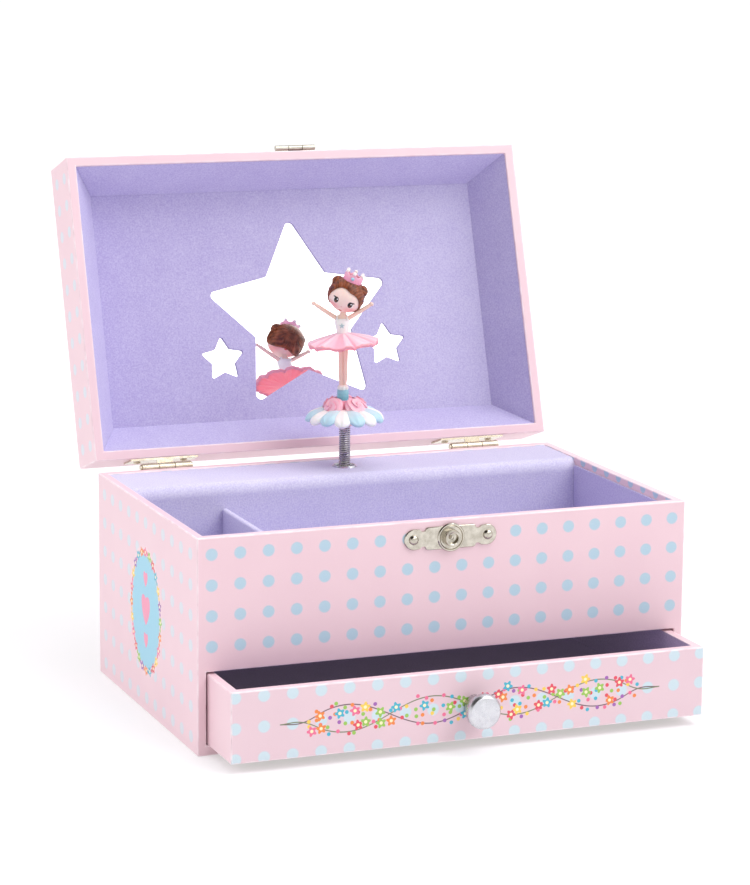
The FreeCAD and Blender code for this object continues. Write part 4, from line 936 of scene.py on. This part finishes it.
def build_case():
    key = Vector(joints["winding_turn"]["pos_m"]) / MM
    inner_low = case_low + Vector((side_t, board_t, base_top))
    inner_high = Vector((case_high.x - side_t, case_high.y - board_t, case_high.z + PAST))
    mouth_low = Vector((inner_low.x, case_low.y - PAST, base_top))
    mouth_high = Vector((inner_high.x, inner_low.y + PAST, front_foot))
    hole = bmesh.new()
    rear_spot = facing_front((key.x, case_high.y, key.z))
    lathe(hole, ((KEY_HOLE_R, -2 * PAST), (KEY_HOLE_R, 2 * PAST)), KEY_HOLE_STEPS, rear_spot)
    bmesh.ops.recalc_face_normals(hole, faces=hole.faces)
    cutters = [block(inner_low, inner_high), block(mouth_low, mouth_high), cast("cutting", hole)]
    bm = carved(case_low, case_high, cutters)
    paper_end = (0, case_low.y + TURN_IN, 0)
    everything = bm.verts[:] + bm.edges[:] + bm.faces[:]
    bmesh.ops.bisect_plane(bm, geom=everything, plane_co=paper_end, plane_no=(0, 1, 0))
    lay_sheet(bm, case_sheet)
    for face in bm.faces:
        middle = face.calc_center_median()
        within = inner_low.x - NEAR < middle.x < inner_high.x + NEAR and middle.y < inner_high.y + NEAR
        in_bay = middle.y > case_low.y + TURN_IN and case_low.z + 1 < middle.z < front_foot
        if within and in_bay:
            face.material_index = 2
        elif abs(face.normal.x) > 0.9 and abs(middle.x) > case_high.x - NEAR:
            face.material_index = 1
        elif face.normal.z < -0.9 and middle.z < NEAR:
            face.material_index = 2
    names = ("base_panel", "left_side_panel", "right_side_panel", "rear_panel", "front_panel")
    materials = (surfaces["pink_paper_board"], paper_side, surfaces["grey_board"])
    flat_shaded(piece("case_boards", bm, materials, "case", names))


# Lid, built shut and then opened
LID_BOARDS = ("lid_top_panel", "lid_left_wall", "lid_right_wall", "lid_front_wall", "lid_rear_wall")
lid_low, lid_high = shut_corners(*LID_BOARDS)
lid_side_t = shut_corners("lid_left_wall")[1].x - lid_low.x
lid_board_t = shut_corners("lid_front_wall")[1].y - lid_low.y
lid_roof_t = lid_high.z - shut_corners("lid_top_panel")[0].z


def lid_sheet(co, normal, middle):
    """Place on the sheets of the lid's top and outer walls; the rear and the rims are plain."""
    if normal.z > STEEP:
        return co.x - LID_DOT[0], co.y - lid_low.y - LID_DOT[1]
    on_side, facing = wall_of(normal, middle, lid_low, lid_high)
    along = co.y - SIDE_DOT[0] if on_side else co.x - LID_DOT[0]
    if facing > 0 and normal.y < STEEP:
        return along, co.z - lid_low.z - LID_DOT[1]
    return PLAIN


def build_lid():
    inner_low = lid_low + Vector((lid_side_t, lid_board_t, -PAST))
    inner_high = lid_high - Vector((lid_side_t, lid_board_t, lid_roof_t))
    bm = carved(lid_low, lid_high, [block(inner_low, inner_high)])
    lay_sheet(bm, lid_sheet)
    for face in bm.faces:
        face.material_index = int(abs(face.normal.x) > STEEP)
    materials = (surfaces["pink_paper_board"], paper_lid)
    flat_shaded(piece("lid_boards", bm, materials, "lid", LID_BOARDS, LID_OPEN))


# Drawer
DRAWER_BOARDS = ("drawer_front", "drawer_left_side", "drawer_right_side", "drawer_back")
front_low, front_high = corners("drawer_front")
back_low, back_high = corners("drawer_back")
drawer_low = Vector((corners("drawer_left_side")[0].x, front_low.y, front_low.z))
drawer_high = Vector((corners("drawer_right_side")[1].x, back_high.y, front_high.z))
drawer_side_t = corners("drawer_left_side")[1].x - drawer_low.x


def on_drawer_face(normal, middle):
    return normal.y < -0.5 and middle.y < drawer_low.y + 1


def drawer_sheet(co, normal, middle):
    """Place on the sheet of the drawer's face; the other boards are plain."""
    if on_drawer_face(normal, middle):
        return co.x - DRAWER_DOT[0], co.z - DRAWER_DOT[1]
    return PLAIN


def build_drawer():
    inner_low = Vector((drawer_low.x + drawer_side_t, front_high.y, drawer_low.z - PAST))
    inner_high = Vector((drawer_high.x - drawer_side_t, back_low.y, drawer_high.z + PAST))
    bm = carved(drawer_low, drawer_high, [block(inner_low, inner_high)])
    lay_sheet(bm, drawer_sheet)
    for face in bm.faces:
        middle = face.calc_center_median()
        inner_x = inner_low.x - NEAR < middle.x < inner_high.x + NEAR
        inner_y = inner_low.y - NEAR < middle.y < inner_high.y + NEAR
        if inner_x and inner_y and abs(face.normal.z) < 0.5:
            face.material_index = 2
        elif on_drawer_face(face.normal, middle):
            face.material_index = 1
    materials = (surfaces["pink_paper_board"], paper_drawer, surfaces["aubergine_flock"])
    flat_shaded(piece("drawer_boards", bm, materials, "drawer", DRAWER_BOARDS))


# Plated fittings
def facing_front(at):
    """Turns a form made along the upright axis to stand out of a front face."""
    return Matrix.Translation(at) @ Matrix.Rotation(math.radians(90), 4, "X")


def rear_middle(node):
    """Middle of a node's rear face."""
    low, high = corners(node)
    return Vector(((low.x + high.x) / 2, high.y, (low.z + high.z) / 2))


def plate_outline():
    """Half outline of the stamped clasp plate, from its middle top round one end."""
    points = list(PLATE_SHOULDER)
    end_x = PLATE_REACH - PLATE_END_R
    for share in shares(PLATE_END_STEPS):
        a = PLATE_END_TURN * (1 - 2 * share)
        points.append((end_x + PLATE_END_R * math.cos(a), PLATE_END_R * math.sin(a)))
    return points + [(x, -y) for x, y in reversed(PLATE_SHOULDER[1:])]


def build_clasp():
    place = facing_front(rear_middle("clasp_plate"))
    half = plate_outline()
    outline = half + [(-x, -y) for x, y in half]
    rows = []
    for inset, depth in ((0.0, 0.0), (0.0, PLATE_T - PLATE_ROUND), (PLATE_ROUND, PLATE_T)):
        wide = 1 - inset / PLATE_HALF[0]
        high = 1 - inset / PLATE_HALF[1]
        rows.append([Vector((x * wide, y * high, depth)) for x, y in outline])
    bm = bmesh.new()
    skin(bm, rows)
    lathe(bm, CATCH_BEAD + CATCH_POST + CATCH_PIN, steps=48)
    piece("clasp", bm, (surfaces["nickel"],), "case", ("clasp_plate",), place, 30.0)
    bm = bmesh.new()
    for side in (-1, 1):
        lathe(bm, NAIL_DOME, steps=24, place=Matrix.Translation((side * NAIL_X, 0, PLATE_T)))
    piece("clasp_heads", bm, (surfaces["nickel"],), "case", ("clasp_nails",), place, 60.0)


def build_knob():
    low, high = corners("drawer_knob")
    radius = (high.x - low.x) / 2
    length = high.y - low.y
    profile = [(radius - inset, height) for inset, height in KNOB_FOOT]
    profile += [(radius - inset, length - drop) for inset, drop in KNOB_DRUM + KNOB_RIM]
    profile += [(KNOB_FACE_R, length), (TIP_R, length)]
    bm = bmesh.new()
    lathe(bm, profile, steps=64)
    place = facing_front(rear_middle("drawer_knob"))
    piece("knob", bm, (nickel_knob,), "drawer", ("drawer_knob",), place, 50.0)


def build_grommet():
    low, high = corners("spindle_grommet")
    outer = (high.x - low.x) / 2
    bore = outer - EYELET_RIM
    top = high.z - low.z
    profile = [(bore + step, top * share) for step, share in EYELET_IN]
    profile += [(outer - step, top * share) for step, share in EYELET_OUT]
    rows = [ring(radius, height, steps=56) for radius, height in profile]
    bm = bmesh.new()
    skin(bm, [*rows, rows[0]], capped=False)
    bmesh.ops.remove_doubles(bm, verts=bm.verts, dist=0.001)
    # Faces inside the bore take the near-black metal, painted shade
    for face in bm.faces:
        face.material_index = int(face.calc_center_median().to_2d().length < bore)
    place = Matrix.Translation(((low.x + high.x) / 2, (low.y + high.y) / 2, low.z))
    piece("grommet", bm, (nickel_knob, bore_shade_metal), "case", ("spindle_grommet",), place, 30.0)


def build_spring():
    height = figure_foot.z - cover_top
    coils = height / SPRING_PITCH
    path = []
    for share in shares(int(coils * SPRING_STEPS) + 1):
        rise = SPRING_WIRE + (height - 2 * SPRING_WIRE) * share
        path.append(swung(SPRING_R, 2 * math.pi * coils * share, rise))
    bm = bmesh.new()
    tube(bm, path, [SPRING_WIRE] * len(path), steps=8)
    made = piece("coil", bm, (surfaces["steel"],), None, ("dancer_spring",), SPRING_FOOT)
    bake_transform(made)


# Painted figure
def petal_rows(number):
    """Sections of one petal, from its root to its rounded tip."""
    a = 2 * math.pi * (number + 0.5) / PETALS
    out = swung(1.0, a)
    across = Vector((-out.y, out.x, 0.0))
    root_z = PETAL_IN[1] + PETAL_LIFT[number % 2]
    rows = []
    for t in shares(PETAL_ROWS):
        tip = math.sqrt(max(0.02, 1 - max(0.0, (t - PETAL_ROUND) / 0.305) ** 2))
        wide = PETAL_W * (PETAL_ROOT_W + (1 - PETAL_ROOT_W) * t) * tip
        thick = PETAL_T * (PETAL_ROOT_T + (1 - PETAL_ROOT_T) * t) * tip
        reach = PETAL_IN[0] + (PETAL_OUT[0] - PETAL_IN[0]) * t
        height = root_z + (PETAL_OUT[1] - PETAL_IN[1]) * t ** PETAL_DROOP
        row = []
        for b in turns(PETAL_STEPS):
            crease = math.sin(6.5 * math.cos(b) + 1.9 * number)
            pucker = PETAL_PUCKER * t * crease if math.sin(b) > 0 else 0.0
            rise = thick * math.sin(b) * (1 + pucker)
            level = out * (reach + 0.5 * pucker) + across * (wide * math.cos(b))
            row.append(level + Vector((0, 0, height + rise)))
        rows.append(row)
    return rows


def petal_tint(ink):
    """Paint of a petal, paler at its root and pinker towards its lowest points."""

    def tint(share, vertex, *_):
        base = shade(shade(ink, WHITE, 0.45), ink, share * 1.2)
        return shade(base, PETAL_PINK, (PETAL_OUT[1] - 0.6 - vertex.co.z) * 0.7)

    return tint


def build_petals():
    bm = painted_mesh()
    core = ((PETAL_NECK_R, figure_foot.z - cover_top), *PETAL_CORE)
    dab(bm, lathe(bm, core, steps=56), PETAL_PINK)
    for i in range(PETALS):
        dab(bm, skin(bm, petal_rows(i)), petal_tint(PETAL_BLUE if i % 2 else WHITE))
    figure_piece("petals", bm, "blue_and_white_plastic", "dancer_base", 55.0)


def rose(bm, place):
    """One moulded rose: a shallow dome whose petals wind round its middle."""
    rows = []
    lips = []
    for share in shares(ROSE_ROWS):
        polar = ROSE_OPEN * (1 - share) + 0.02
        row = []
        lips.append([])
        for a in turns(ROSE_STEPS):
            lip = (1.5 * a / math.pi + 5.2 * polar / math.pi + 0.1 * math.sin(3 * a)) % 1.0
            fold = lip ** 1.6 * min(1.0, polar / 0.25)
            reach = (ROSE_R + 0.5 * fold + 0.08 * math.cos(5 * a)) * math.sin(polar)
            row.append(place @ swung(reach, a, (ROSE_H + 0.75 * fold) * math.cos(polar)))
            lips[-1].append(lip)
        rows.append(row)
    # Deeper pink in the grooves between petals and paler on their raised lips: painted shade and light
    edge = shade(ROSE, WHITE, 0.2)
    dab(bm, skin(bm, rows), lambda share, vertex, i, k: shade(ROSE_DEEP, edge, 0.4 + lips[i][k]))


def build_roses():
    bm = painted_mesh()
    dab(bm, lathe(bm, ROSE_STEM, steps=40), shade(ROSE_DEEP, ROSE, 0.4))
    for turn in ROSE_TURNS:
        a = math.radians(turn)
        at = Matrix.Translation(swung(ROSE_RING, a, ROSE_Z))
        lean = Matrix.Rotation(ROSE_LEAN, 4, Vector((-math.sin(a), math.cos(a), 0.0)))
        rose(bm, at @ lean @ Matrix.Rotation(a, 4, "Z"))
    figure_piece("roses", bm, "pink_plastic", "dancer_roses", 45.0)


def build_legs():
    bm = painted_mesh()
    place = Matrix.Translation((FIGURE_X, 0, 0))
    band = [(BAND_R - 0.5, BAND_Z0), (BAND_R, BAND_Z0 + 0.1)]
    for i in range(1, BAND_RIBS):
        rise = BAND_Z0 + 0.1 + (BAND_Z1 - BAND_Z0) * i / BAND_RIBS
        band.append((BAND_R + 0.07 * math.cos(2 * math.pi * i / 4), rise))
    band += [(BAND_R, BAND_Z1), (BAND_R - 0.6, BAND_Z1 + 0.2)]
    # The band pales towards its top: painted light
    teal_painted_light = shade(TEAL, WHITE, 0.25)
    dab(bm, lathe(bm, band, steps=36, place=place), lambda share, *_: shade(TEAL, teal_painted_light, share))
    rows = []
    for radius, rise, wave in CUFF:
        rows.append([place @ swung(radius + wave * math.cos(9 * a), a, BAND_Z1 + rise) for a in turns(48)])
    dab(bm, skin(bm, rows), WHITE)
    for side in (-1, 1):
        points = [Vector((FIGURE_X + side * apart, 0.0, height)) for apart, height in LEG_PATH]
        radii = []
        for t in shares(LEG_ROWS):
            calf = LEG_CALF * math.sin(math.pi * min(1.0, t * 1.8)) ** 2
            radii.append(LEG_R + LEG_GAIN * t + calf)
        rings = tube(bm, smooth_path(points, LEG_ROWS), radii, steps=18)
        dab(bm, rings, lambda share, *_: shade(SKIN_DEEP, SKIN, 0.35 + share))
    figure_piece("legs", bm, "skin_plastic", "dancer_legs", 60.0)


def tutu_profile():
    """Radius, height, spread and underside share of the skirt's rows, from the waist round to below."""
    profile = []
    for t in shares(TUTU_TOP_ROWS):
        drop = (TUTU_TOP - TUTU_Z) * (0.85 * t + 0.15 * t ** 2)
        profile.append((TUTU_WAIST + (TUTU_R - TUTU_WAIST) * t, TUTU_TOP - drop, t, 0.0))
    for step, drop in TUTU_RIM:
        profile.append((TUTU_R + step, TUTU_Z - drop, 1.0, 0.6))
    for t in shares(TUTU_UNDER_ROWS):
        profile.append((TUTU_R - 1.4 - (TUTU_R - 5.4) * t, TUTU_Z - 1.2 - 1.9 * t, 1 - t, 1.0))
    return profile


def build_tutu():
    profile = tutu_profile()
    rows = []
    for radius, height, spread, _ in profile:
        row = []
        for a in turns(TUTU_STEPS):
            drift = noise.noise(swung(1.0, a, 0.3) * 1.7)
            hump = abs(math.sin(PLEATS * a / 2 + 1.3 * drift))
            crease = 0.12 * math.sin(PLEATS * 3 * a + 4 * drift)
            reach = radius + 0.45 * spread ** 3 * (hump - 0.5)
            row.append(swung(reach, a, height + PLEAT_H * spread ** 1.3 * (hump - 0.65 + crease)))
        rows.append(row)

    # Paler on the pleats' ridges and deeper pink in their valleys: painted light and shade; coral below
    def tint(share, vertex, i, k):
        _, height, spread, under = profile[i]
        ridge = (rows[i][k].z - height) / (PLEAT_H * max(0.1, spread) ** 1.3) + 0.65
        return shade(shade(TUTU_PINK, TUTU_PALE, 0.1 + ridge * (1 - 0.25 * spread)), CORAL, under)

    bm = painted_mesh()
    rings = skin(bm, rows)
    dab(bm, rings, tint)
    # Faces under the skirt take the glowing paint, painted light
    below = {vertex for row in rings[-TUTU_UNDER_ROWS:] for vertex in row}
    for face in bm.faces:
        face.material_index = int(below.issuperset(face.verts))
    waist = Matrix.Translation((FIGURE_X, 0, TUTU_Z)) @ Matrix.Rotation(TUTU_TILT, 4, "Y")
    place = FIGURE @ waist @ Matrix.Translation((0, 0, -TUTU_Z))
    materials = (surfaces["pink_plastic"], glowing_tutu_under)
    figure_piece("tutu", bm, "pink_plastic", "dancer_tutu", 70.0, place, materials)


def add_arm(bm, side):
    """An arm with its hand and thumb, and the bodice strap over its shoulder."""
    path = smooth_path([Vector((TORSO_X + side * x, 0.0, z)) for x, z in ARM_PATH], ARM_ROWS)
    radii = []
    for t in shares(ARM_ROWS):
        wrist = ARM_WRIST * math.exp(-((t - 0.86) / 0.07) ** 2)
        hand = ARM_HAND * math.exp(-((t - 0.95) / 0.05) ** 2)
        end = math.sqrt(max(0.05, 1 - max(0.0, (t - 0.9) / 0.1) ** 2))
        radii.append((ARM_R - ARM_TAPER * t - wrist + hand) * end)
    rings = tube(bm, path, radii, steps=16, flat=ARM_FLAT)
    dab(bm, rings, lambda share, *_: shade(SKIN, SKIN_DEEP, share * 0.5))
    root = path[THUMB_ROW]
    tip = root + Vector((side * THUMB_REACH[0], *THUMB_REACH[1:]))
    dab(bm, tube(bm, [root, (root + tip) / 2, tip], THUMB_R, steps=10), SKIN)
    strap = smooth_path([Vector((TORSO_X + side * x, y, z)) for x, y, z in STRAP], STRAP_ROWS)
    dab(bm, tube(bm, strap, [STRAP_R] * STRAP_ROWS, steps=8), WHITE)


def build_torso():
    bm = painted_mesh()
    rows = []
    for wide, deep, height in BODICE:
        row = []
        for a in turns(36):
            seam = 0.06 * math.cos(6 * a)
            row.append(Vector((TORSO_X + (wide + seam) * math.cos(a), (deep + seam) * math.sin(a), height)))
        rows.append(row)
    dab(bm, skin(bm, rows), lambda share, *_: shade(WHITE, TUTU_PALE, 0.5 - share * 1.2))
    rows = []
    for wide, deep, height in NECK:
        middle = TORSO_X + max(0.0, height - NECK_Z) / NECK_H * (HEAD_AT[0] - TORSO_X) * 0.6
        rows.append([Vector((middle + wide * at.x, deep * at.y, height)) for at in ring(1.0, 0.0, steps=30)])
    dab(bm, skin(bm, rows), SKIN)
    for side in (-1, 1):
        add_arm(bm, side)
    star = []
    for depth, inset in BADGE_ROWS:
        row = []
        for i in range(10):
            at = swung(BADGE_R[i % 2] * inset, math.radians(90 + 36 * i))
            row.append(Vector((TORSO_X + at.x, depth, BADGE_Z + at.y)))
        star.append(row)
    dab(bm, skin(bm, star), SILVER)
    figure_piece("torso", bm, "white_plastic", "dancer_torso", 50.0)


def head_radius(direction):
    """Doll's head: round on top, full cheeks, a small chin."""
    x, y, z = direction
    cheek = 0.035 * math.exp(-((z + 0.42) / 0.3) ** 2) * abs(x) ** 1.5
    jaw = -0.11 * max(0.0, -z - 0.35) ** 1.2 * (1 - 0.55 * max(0.0, -y))
    chin = 0.05 * math.exp(-((z + 0.86) / 0.18) ** 2 - (x / 0.3) ** 2) * max(0.0, -y + 0.2)
    nose = 0.055 * math.exp(-((x / 0.075) ** 2 + ((z + 0.43) / 0.1) ** 2)) if y < 0 else 0.0
    socket = -0.018 * math.exp(-(((abs(x) - 0.42) / 0.2) ** 2 + ((z + 0.2) / 0.2) ** 2)) if y < 0 else 0.0
    return HEAD_R * (1 + cheek + jaw + chin + nose + socket)


def build_head():
    rows = []
    for i in range(1, HEAD_ROWS):
        polar = math.pi * i / HEAD_ROWS
        directions = ring(math.sin(polar), math.cos(polar), HEAD_STEPS)
        rows.append([direction * head_radius(direction) for direction in directions])
    bm = bmesh.new()
    skin(bm, rows)
    layer = bm.loops.layers.uv.new("face")
    for face in bm.faces:
        for loop in face.loops:
            loop[layer].uv = (loop.vert.co.x / FACE_SCALE, loop.vert.co.z / FACE_SCALE)
    figure_piece("head", bm, "skin_plastic", "dancer_head", 60.0, HEAD, (face_surface,))


def hairline(turn):
    """Angle from the face's axis at which the hair begins, by the turn round that axis."""
    low = (1 - math.sin(turn)) / 2
    sweep = 7 * max(0.0, math.sin(turn)) * math.sin(2 * turn)
    return math.radians(31 + 54 * low + 40 * low ** 4 - sweep)


def hair_point(row, turn):
    """A point of the combed hair; the first two rows turn its lip in to the head."""
    t = row / (HAIR_ROWS - 1)
    start = hairline(turn)
    polar = start + (HAIR_BACK - start) * max(0.0, (t - HAIR_LIP) / (1 - HAIR_LIP))
    flat = swung(math.sin(polar), turn)
    direction = Vector((flat.x, -math.cos(polar), flat.y))
    sway = 9 * noise.noise(direction * 1.4)
    strand = 0.13 * math.sin(STRANDS * turn + sway) + 0.07 * math.sin(FINE_STRANDS * turn - sway)
    if row == 0:
        return direction * (head_radius(direction) - 0.25)
    if row == 1:
        return direction * (head_radius(direction) + 0.45 + strand * 0.6)
    lifted = HAIR_R + strand * math.sin(polar) + 0.15 * math.sin(math.pi * min(1.0, t * 2.5))
    return direction * lifted + HAIR_AT * min(1.0, 0.35 + t)


# Lighter along the combed strands and darker between them, painted light and shade, with random tone besides
def hair_tint(share, vertex, row, step):
    turn = 2 * math.pi * step / HAIR_STEPS
    streak = 0.5 + 0.25 * math.sin(STRANDS * turn + 9 * noise.noise(vertex.co / HAIR_R * 1.4))
    return shade(BROWN_DEEP, BROWN, streak + 0.8 * noise.noise(vertex.co * 0.55))


def bun_swirl(row, turn):
    """Where a point lies across the bun's coils."""
    return math.sin(BUN_COILS * turn + 6 * math.pi * row / BUN_ROWS)


def add_bun(bm, side):
    """A coiled bun at one side of the head."""
    centre = Vector((0.0, HAIR_AT.y, 0.0)) + swung(BUN_OUT, math.radians(90 - side * BUN_DEG)).xzy
    axis = centre.normalized()
    first = axis.orthogonal().normalized()
    second = axis.cross(first)
    rows = []
    for i in range(1, BUN_ROWS):
        polar = math.pi * i / BUN_ROWS
        row = []
        for b in turns(BUN_STEPS):
            reach = BUN_R * (1 - 0.07 * math.cos(polar)) + 0.17 * bun_swirl(i, b) * math.sin(polar)
            flat = first * math.cos(b) + second * math.sin(b)
            row.append(centre + axis * (reach * 0.92 * math.cos(polar)) + flat * (reach * math.sin(polar)))
        rows.append(row)

    # Darker in the grooves between coils and lighter on them: painted shade
    def tint(share, vertex, i, k):
        return shade(BROWN_DEEP, BROWN, 0.5 + 0.5 * bun_swirl(i + 1, 2 * math.pi * k / BUN_STEPS))

    dab(bm, skin(bm, rows), tint)


def build_hair():
    bm = painted_mesh()
    rows = [[hair_point(i, a) for a in turns(HAIR_STEPS)] for i in range(HAIR_ROWS)]
    dab(bm, skin(bm, rows), hair_tint)
    for side in (-1, 1):
        add_bun(bm, side)
    figure_piece("hair", bm, "skin_plastic", "dancer_head", 60.0, HEAD, (hair_surface,))


def crown_top(turn):
    """Height of the crown's scalloped edge."""
    return CROWN_TOP - CROWN_DIP * (0.5 - 0.5 * math.cos(CROWN_TIPS * turn)) ** 1.5


def build_crown():
    bore = CROWN_R - CROWN_T
    profile = [(bore, 0.0)]
    profile += [(CROWN_R - step, share) for step, share in CROWN_OUT]
    profile += [(bore + step, share) for step, share in CROWN_IN]
    front = math.pi / 2
    rows = []
    for radius, share in profile:
        row = []
        for a in turns(CROWN_STEPS):
            row.append(swung(radius, a - front, CROWN_AT + (crown_top(a) - CROWN_AT) * share))
        rows.append(row)
    bm = painted_mesh()
    rings = skin(bm, [*rows, rows[0]], capped=False)
    dab(bm, rings, lambda share, vertex, *_: shade(CROWN_PINK, WHITE, 0.12 + 0.25 * (vertex.co.z - 8) / 3))
    bmesh.ops.remove_doubles(bm, verts=bm.verts, dist=0.001)
    pearl = []
    for i in range(1, PEARL_ROWS):
        polar = math.pi * i / PEARL_ROWS
        pearl.append((PEARL_R * math.sin(polar), -PEARL_R * math.cos(polar) * 1.05))
    for a in turns(CROWN_TIPS):
        at = swung(CROWN_R - CROWN_T / 2, a - front, CROWN_TOP + PEARL_R * 0.55)
        dab(bm, lathe(bm, pearl, steps=18, place=Matrix.Translation(at)), PEARL)
    gem_at = facing_front((0, -CROWN_R + 0.05, (CROWN_AT + CROWN_TOP) / 2))
    dab(bm, lathe(bm, GEM, steps=8, place=gem_at), GEM_BLUE)
    figure_piece("crown", bm, "pink_plastic", "dancer_crown", 50.0, HEAD)


# Pieces that keep their own solid get a finish and softened edges
# The cover and divider take the lighter flock copy, painted light
OWN_FINISH = {"movement_cover": flock_tray_painted_light, "tray_divider": flock_tray_painted_light, "star_panel": flock_panel}


def finish_kept():
    for name, made in frame["nodes"].items():
        made.material_slots[0].material = OWN_FINISH.get(name, surfaces[slots[name]])
        if name not in KEPT_ROUND:
            continue
        mesh = made.data
        if "custom_normal" in mesh.attributes:
            mesh.attributes.remove(mesh.attributes["custom_normal"])
        mesh.shade_smooth()
        made.modifiers.new("weld", "WELD").merge_threshold = KEPT_WELD
        whole = made.modifiers.new("whole", "DECIMATE")
        whole.decimate_type = "DISSOLVE"
        whole.angle_limit = KEPT_FLAT
        soft = made.modifiers.new("soft", "BEVEL")
        soft.width = KEPT_ROUND[name] * MM
        soft.segments = 2
        soft.limit_method = "ANGLE"
        soft.angle_limit = KEPT_FOLD
        flat_shaded(made)


# Floor, light and camera
def build_floor():
    bm = bmesh.new()
    bmesh.ops.create_grid(bm, x_segments=1, y_segments=1, size=FLOOR_HALF)
    floor = cast("floor", bm)
    material, place = fresh("floor_white")
    cloud = grain(place, size=300.0, detail=2.0)
    finish(material, Base_Color=mix(cloud, rgb(206, 206, 208), rgb(202, 202, 205)), Roughness=0.9)
    finish(material, Specular_IOR_Level=0.1, Emission_Color=(1.0, 1.0, 1.0, 1.0), Emission_Strength=0.42)
    floor.data.materials.append(material)


def lamp(name, kind, toward, energy):
    """A light that shines on the box from a direction."""
    data = bpy.data.lights.new(name, kind)
    data.energy = energy
    made = placed(name, data)
    made.rotation_mode = "QUATERNION"
    made.rotation_quaternion = (-Vector(toward)).to_track_quat("-Z", "Y")
    return made


def area_light(name, toward, watts, distance, wide, high):
    """A rectangular light at a distance from the box."""
    made = lamp(name, "AREA", toward, watts)
    made.location = CAMERA_AIM + Vector(toward).normalized() * distance
    made.data.shape = "RECTANGLE"
    made.data.size = wide
    made.data.size_y = high


def sun(name, toward, strength, spread):
    """A broad even light that leaves no highlights."""
    made = lamp(name, "SUN", toward, strength)
    made.data.angle = math.radians(spread)
    made.visible_glossy = False


def build_light():
    world = bpy.data.worlds.new("studio")
    world.use_nodes = True
    tree = world.node_tree
    apart = wire(tree, "TexCoord", "Generated").vector("DISTANCE", DARK_TOWARD)
    glossy = wire(tree, "LightPath", "Is Glossy Ray")
    level = mix(glossy, (ROOM, ROOM, ROOM, 1.0), rgb(255, 255, 255))
    room = mix(inside(apart, DARK_R, DARK_BLUR), level, rgb(58, 54, 52))
    put(tree.nodes["Background"].inputs["Color"], room)
    bpy.context.scene.world = world
    area_light("key", (0.54, -0.45, 0.71), watts=33.5, distance=2.6, wide=2.0, high=2.0)
    area_light("card", (0.12, -0.9, 0.41), watts=3.4, distance=2.4, wide=1.1, high=0.7)
    sun("top", (0.05, -0.05, 1.0), strength=1.8, spread=70.0)
    sun("left", (-0.8, 0.42, 0.35), strength=1.05, spread=50.0)
    bpy.context.scene.view_settings.view_transform = "Standard"


def build_camera():
    azimuth = math.radians(CAMERA_AZIMUTH)
    elevation = math.radians(CAMERA_ELEVATION)
    level = math.cos(elevation)
    back = Vector((math.sin(azimuth) * level, -math.cos(azimuth) * level, math.sin(elevation)))
    data = bpy.data.cameras.new("camera")
    data.lens = CAMERA_LENS
    data.sensor_width = CAMERA_SENSOR
    made = placed("camera", data)
    made.location = CAMERA_AIM + back * CAMERA_DISTANCE
    made.rotation_mode = "QUATERNION"
    roll = Matrix.Rotation(math.radians(CAMERA_ROLL), 3, back)
    right = Vector((0.0, 0.0, 1.0)).cross(back).normalized()
    turn = Matrix((right, back.cross(right), back)).transposed()
    made.rotation_quaternion = (roll @ turn).to_quaternion()
    bpy.context.scene.camera = made


build_case()
build_lid()
build_drawer()
build_clasp()
build_knob()
build_grommet()
build_spring()
build_petals()
build_roses()
build_legs()
build_tutu()
build_torso()
build_head()
build_hair()
build_crown()
finish_kept()
build_floor()
build_light()
build_camera()
bpy.context.view_layer.update()
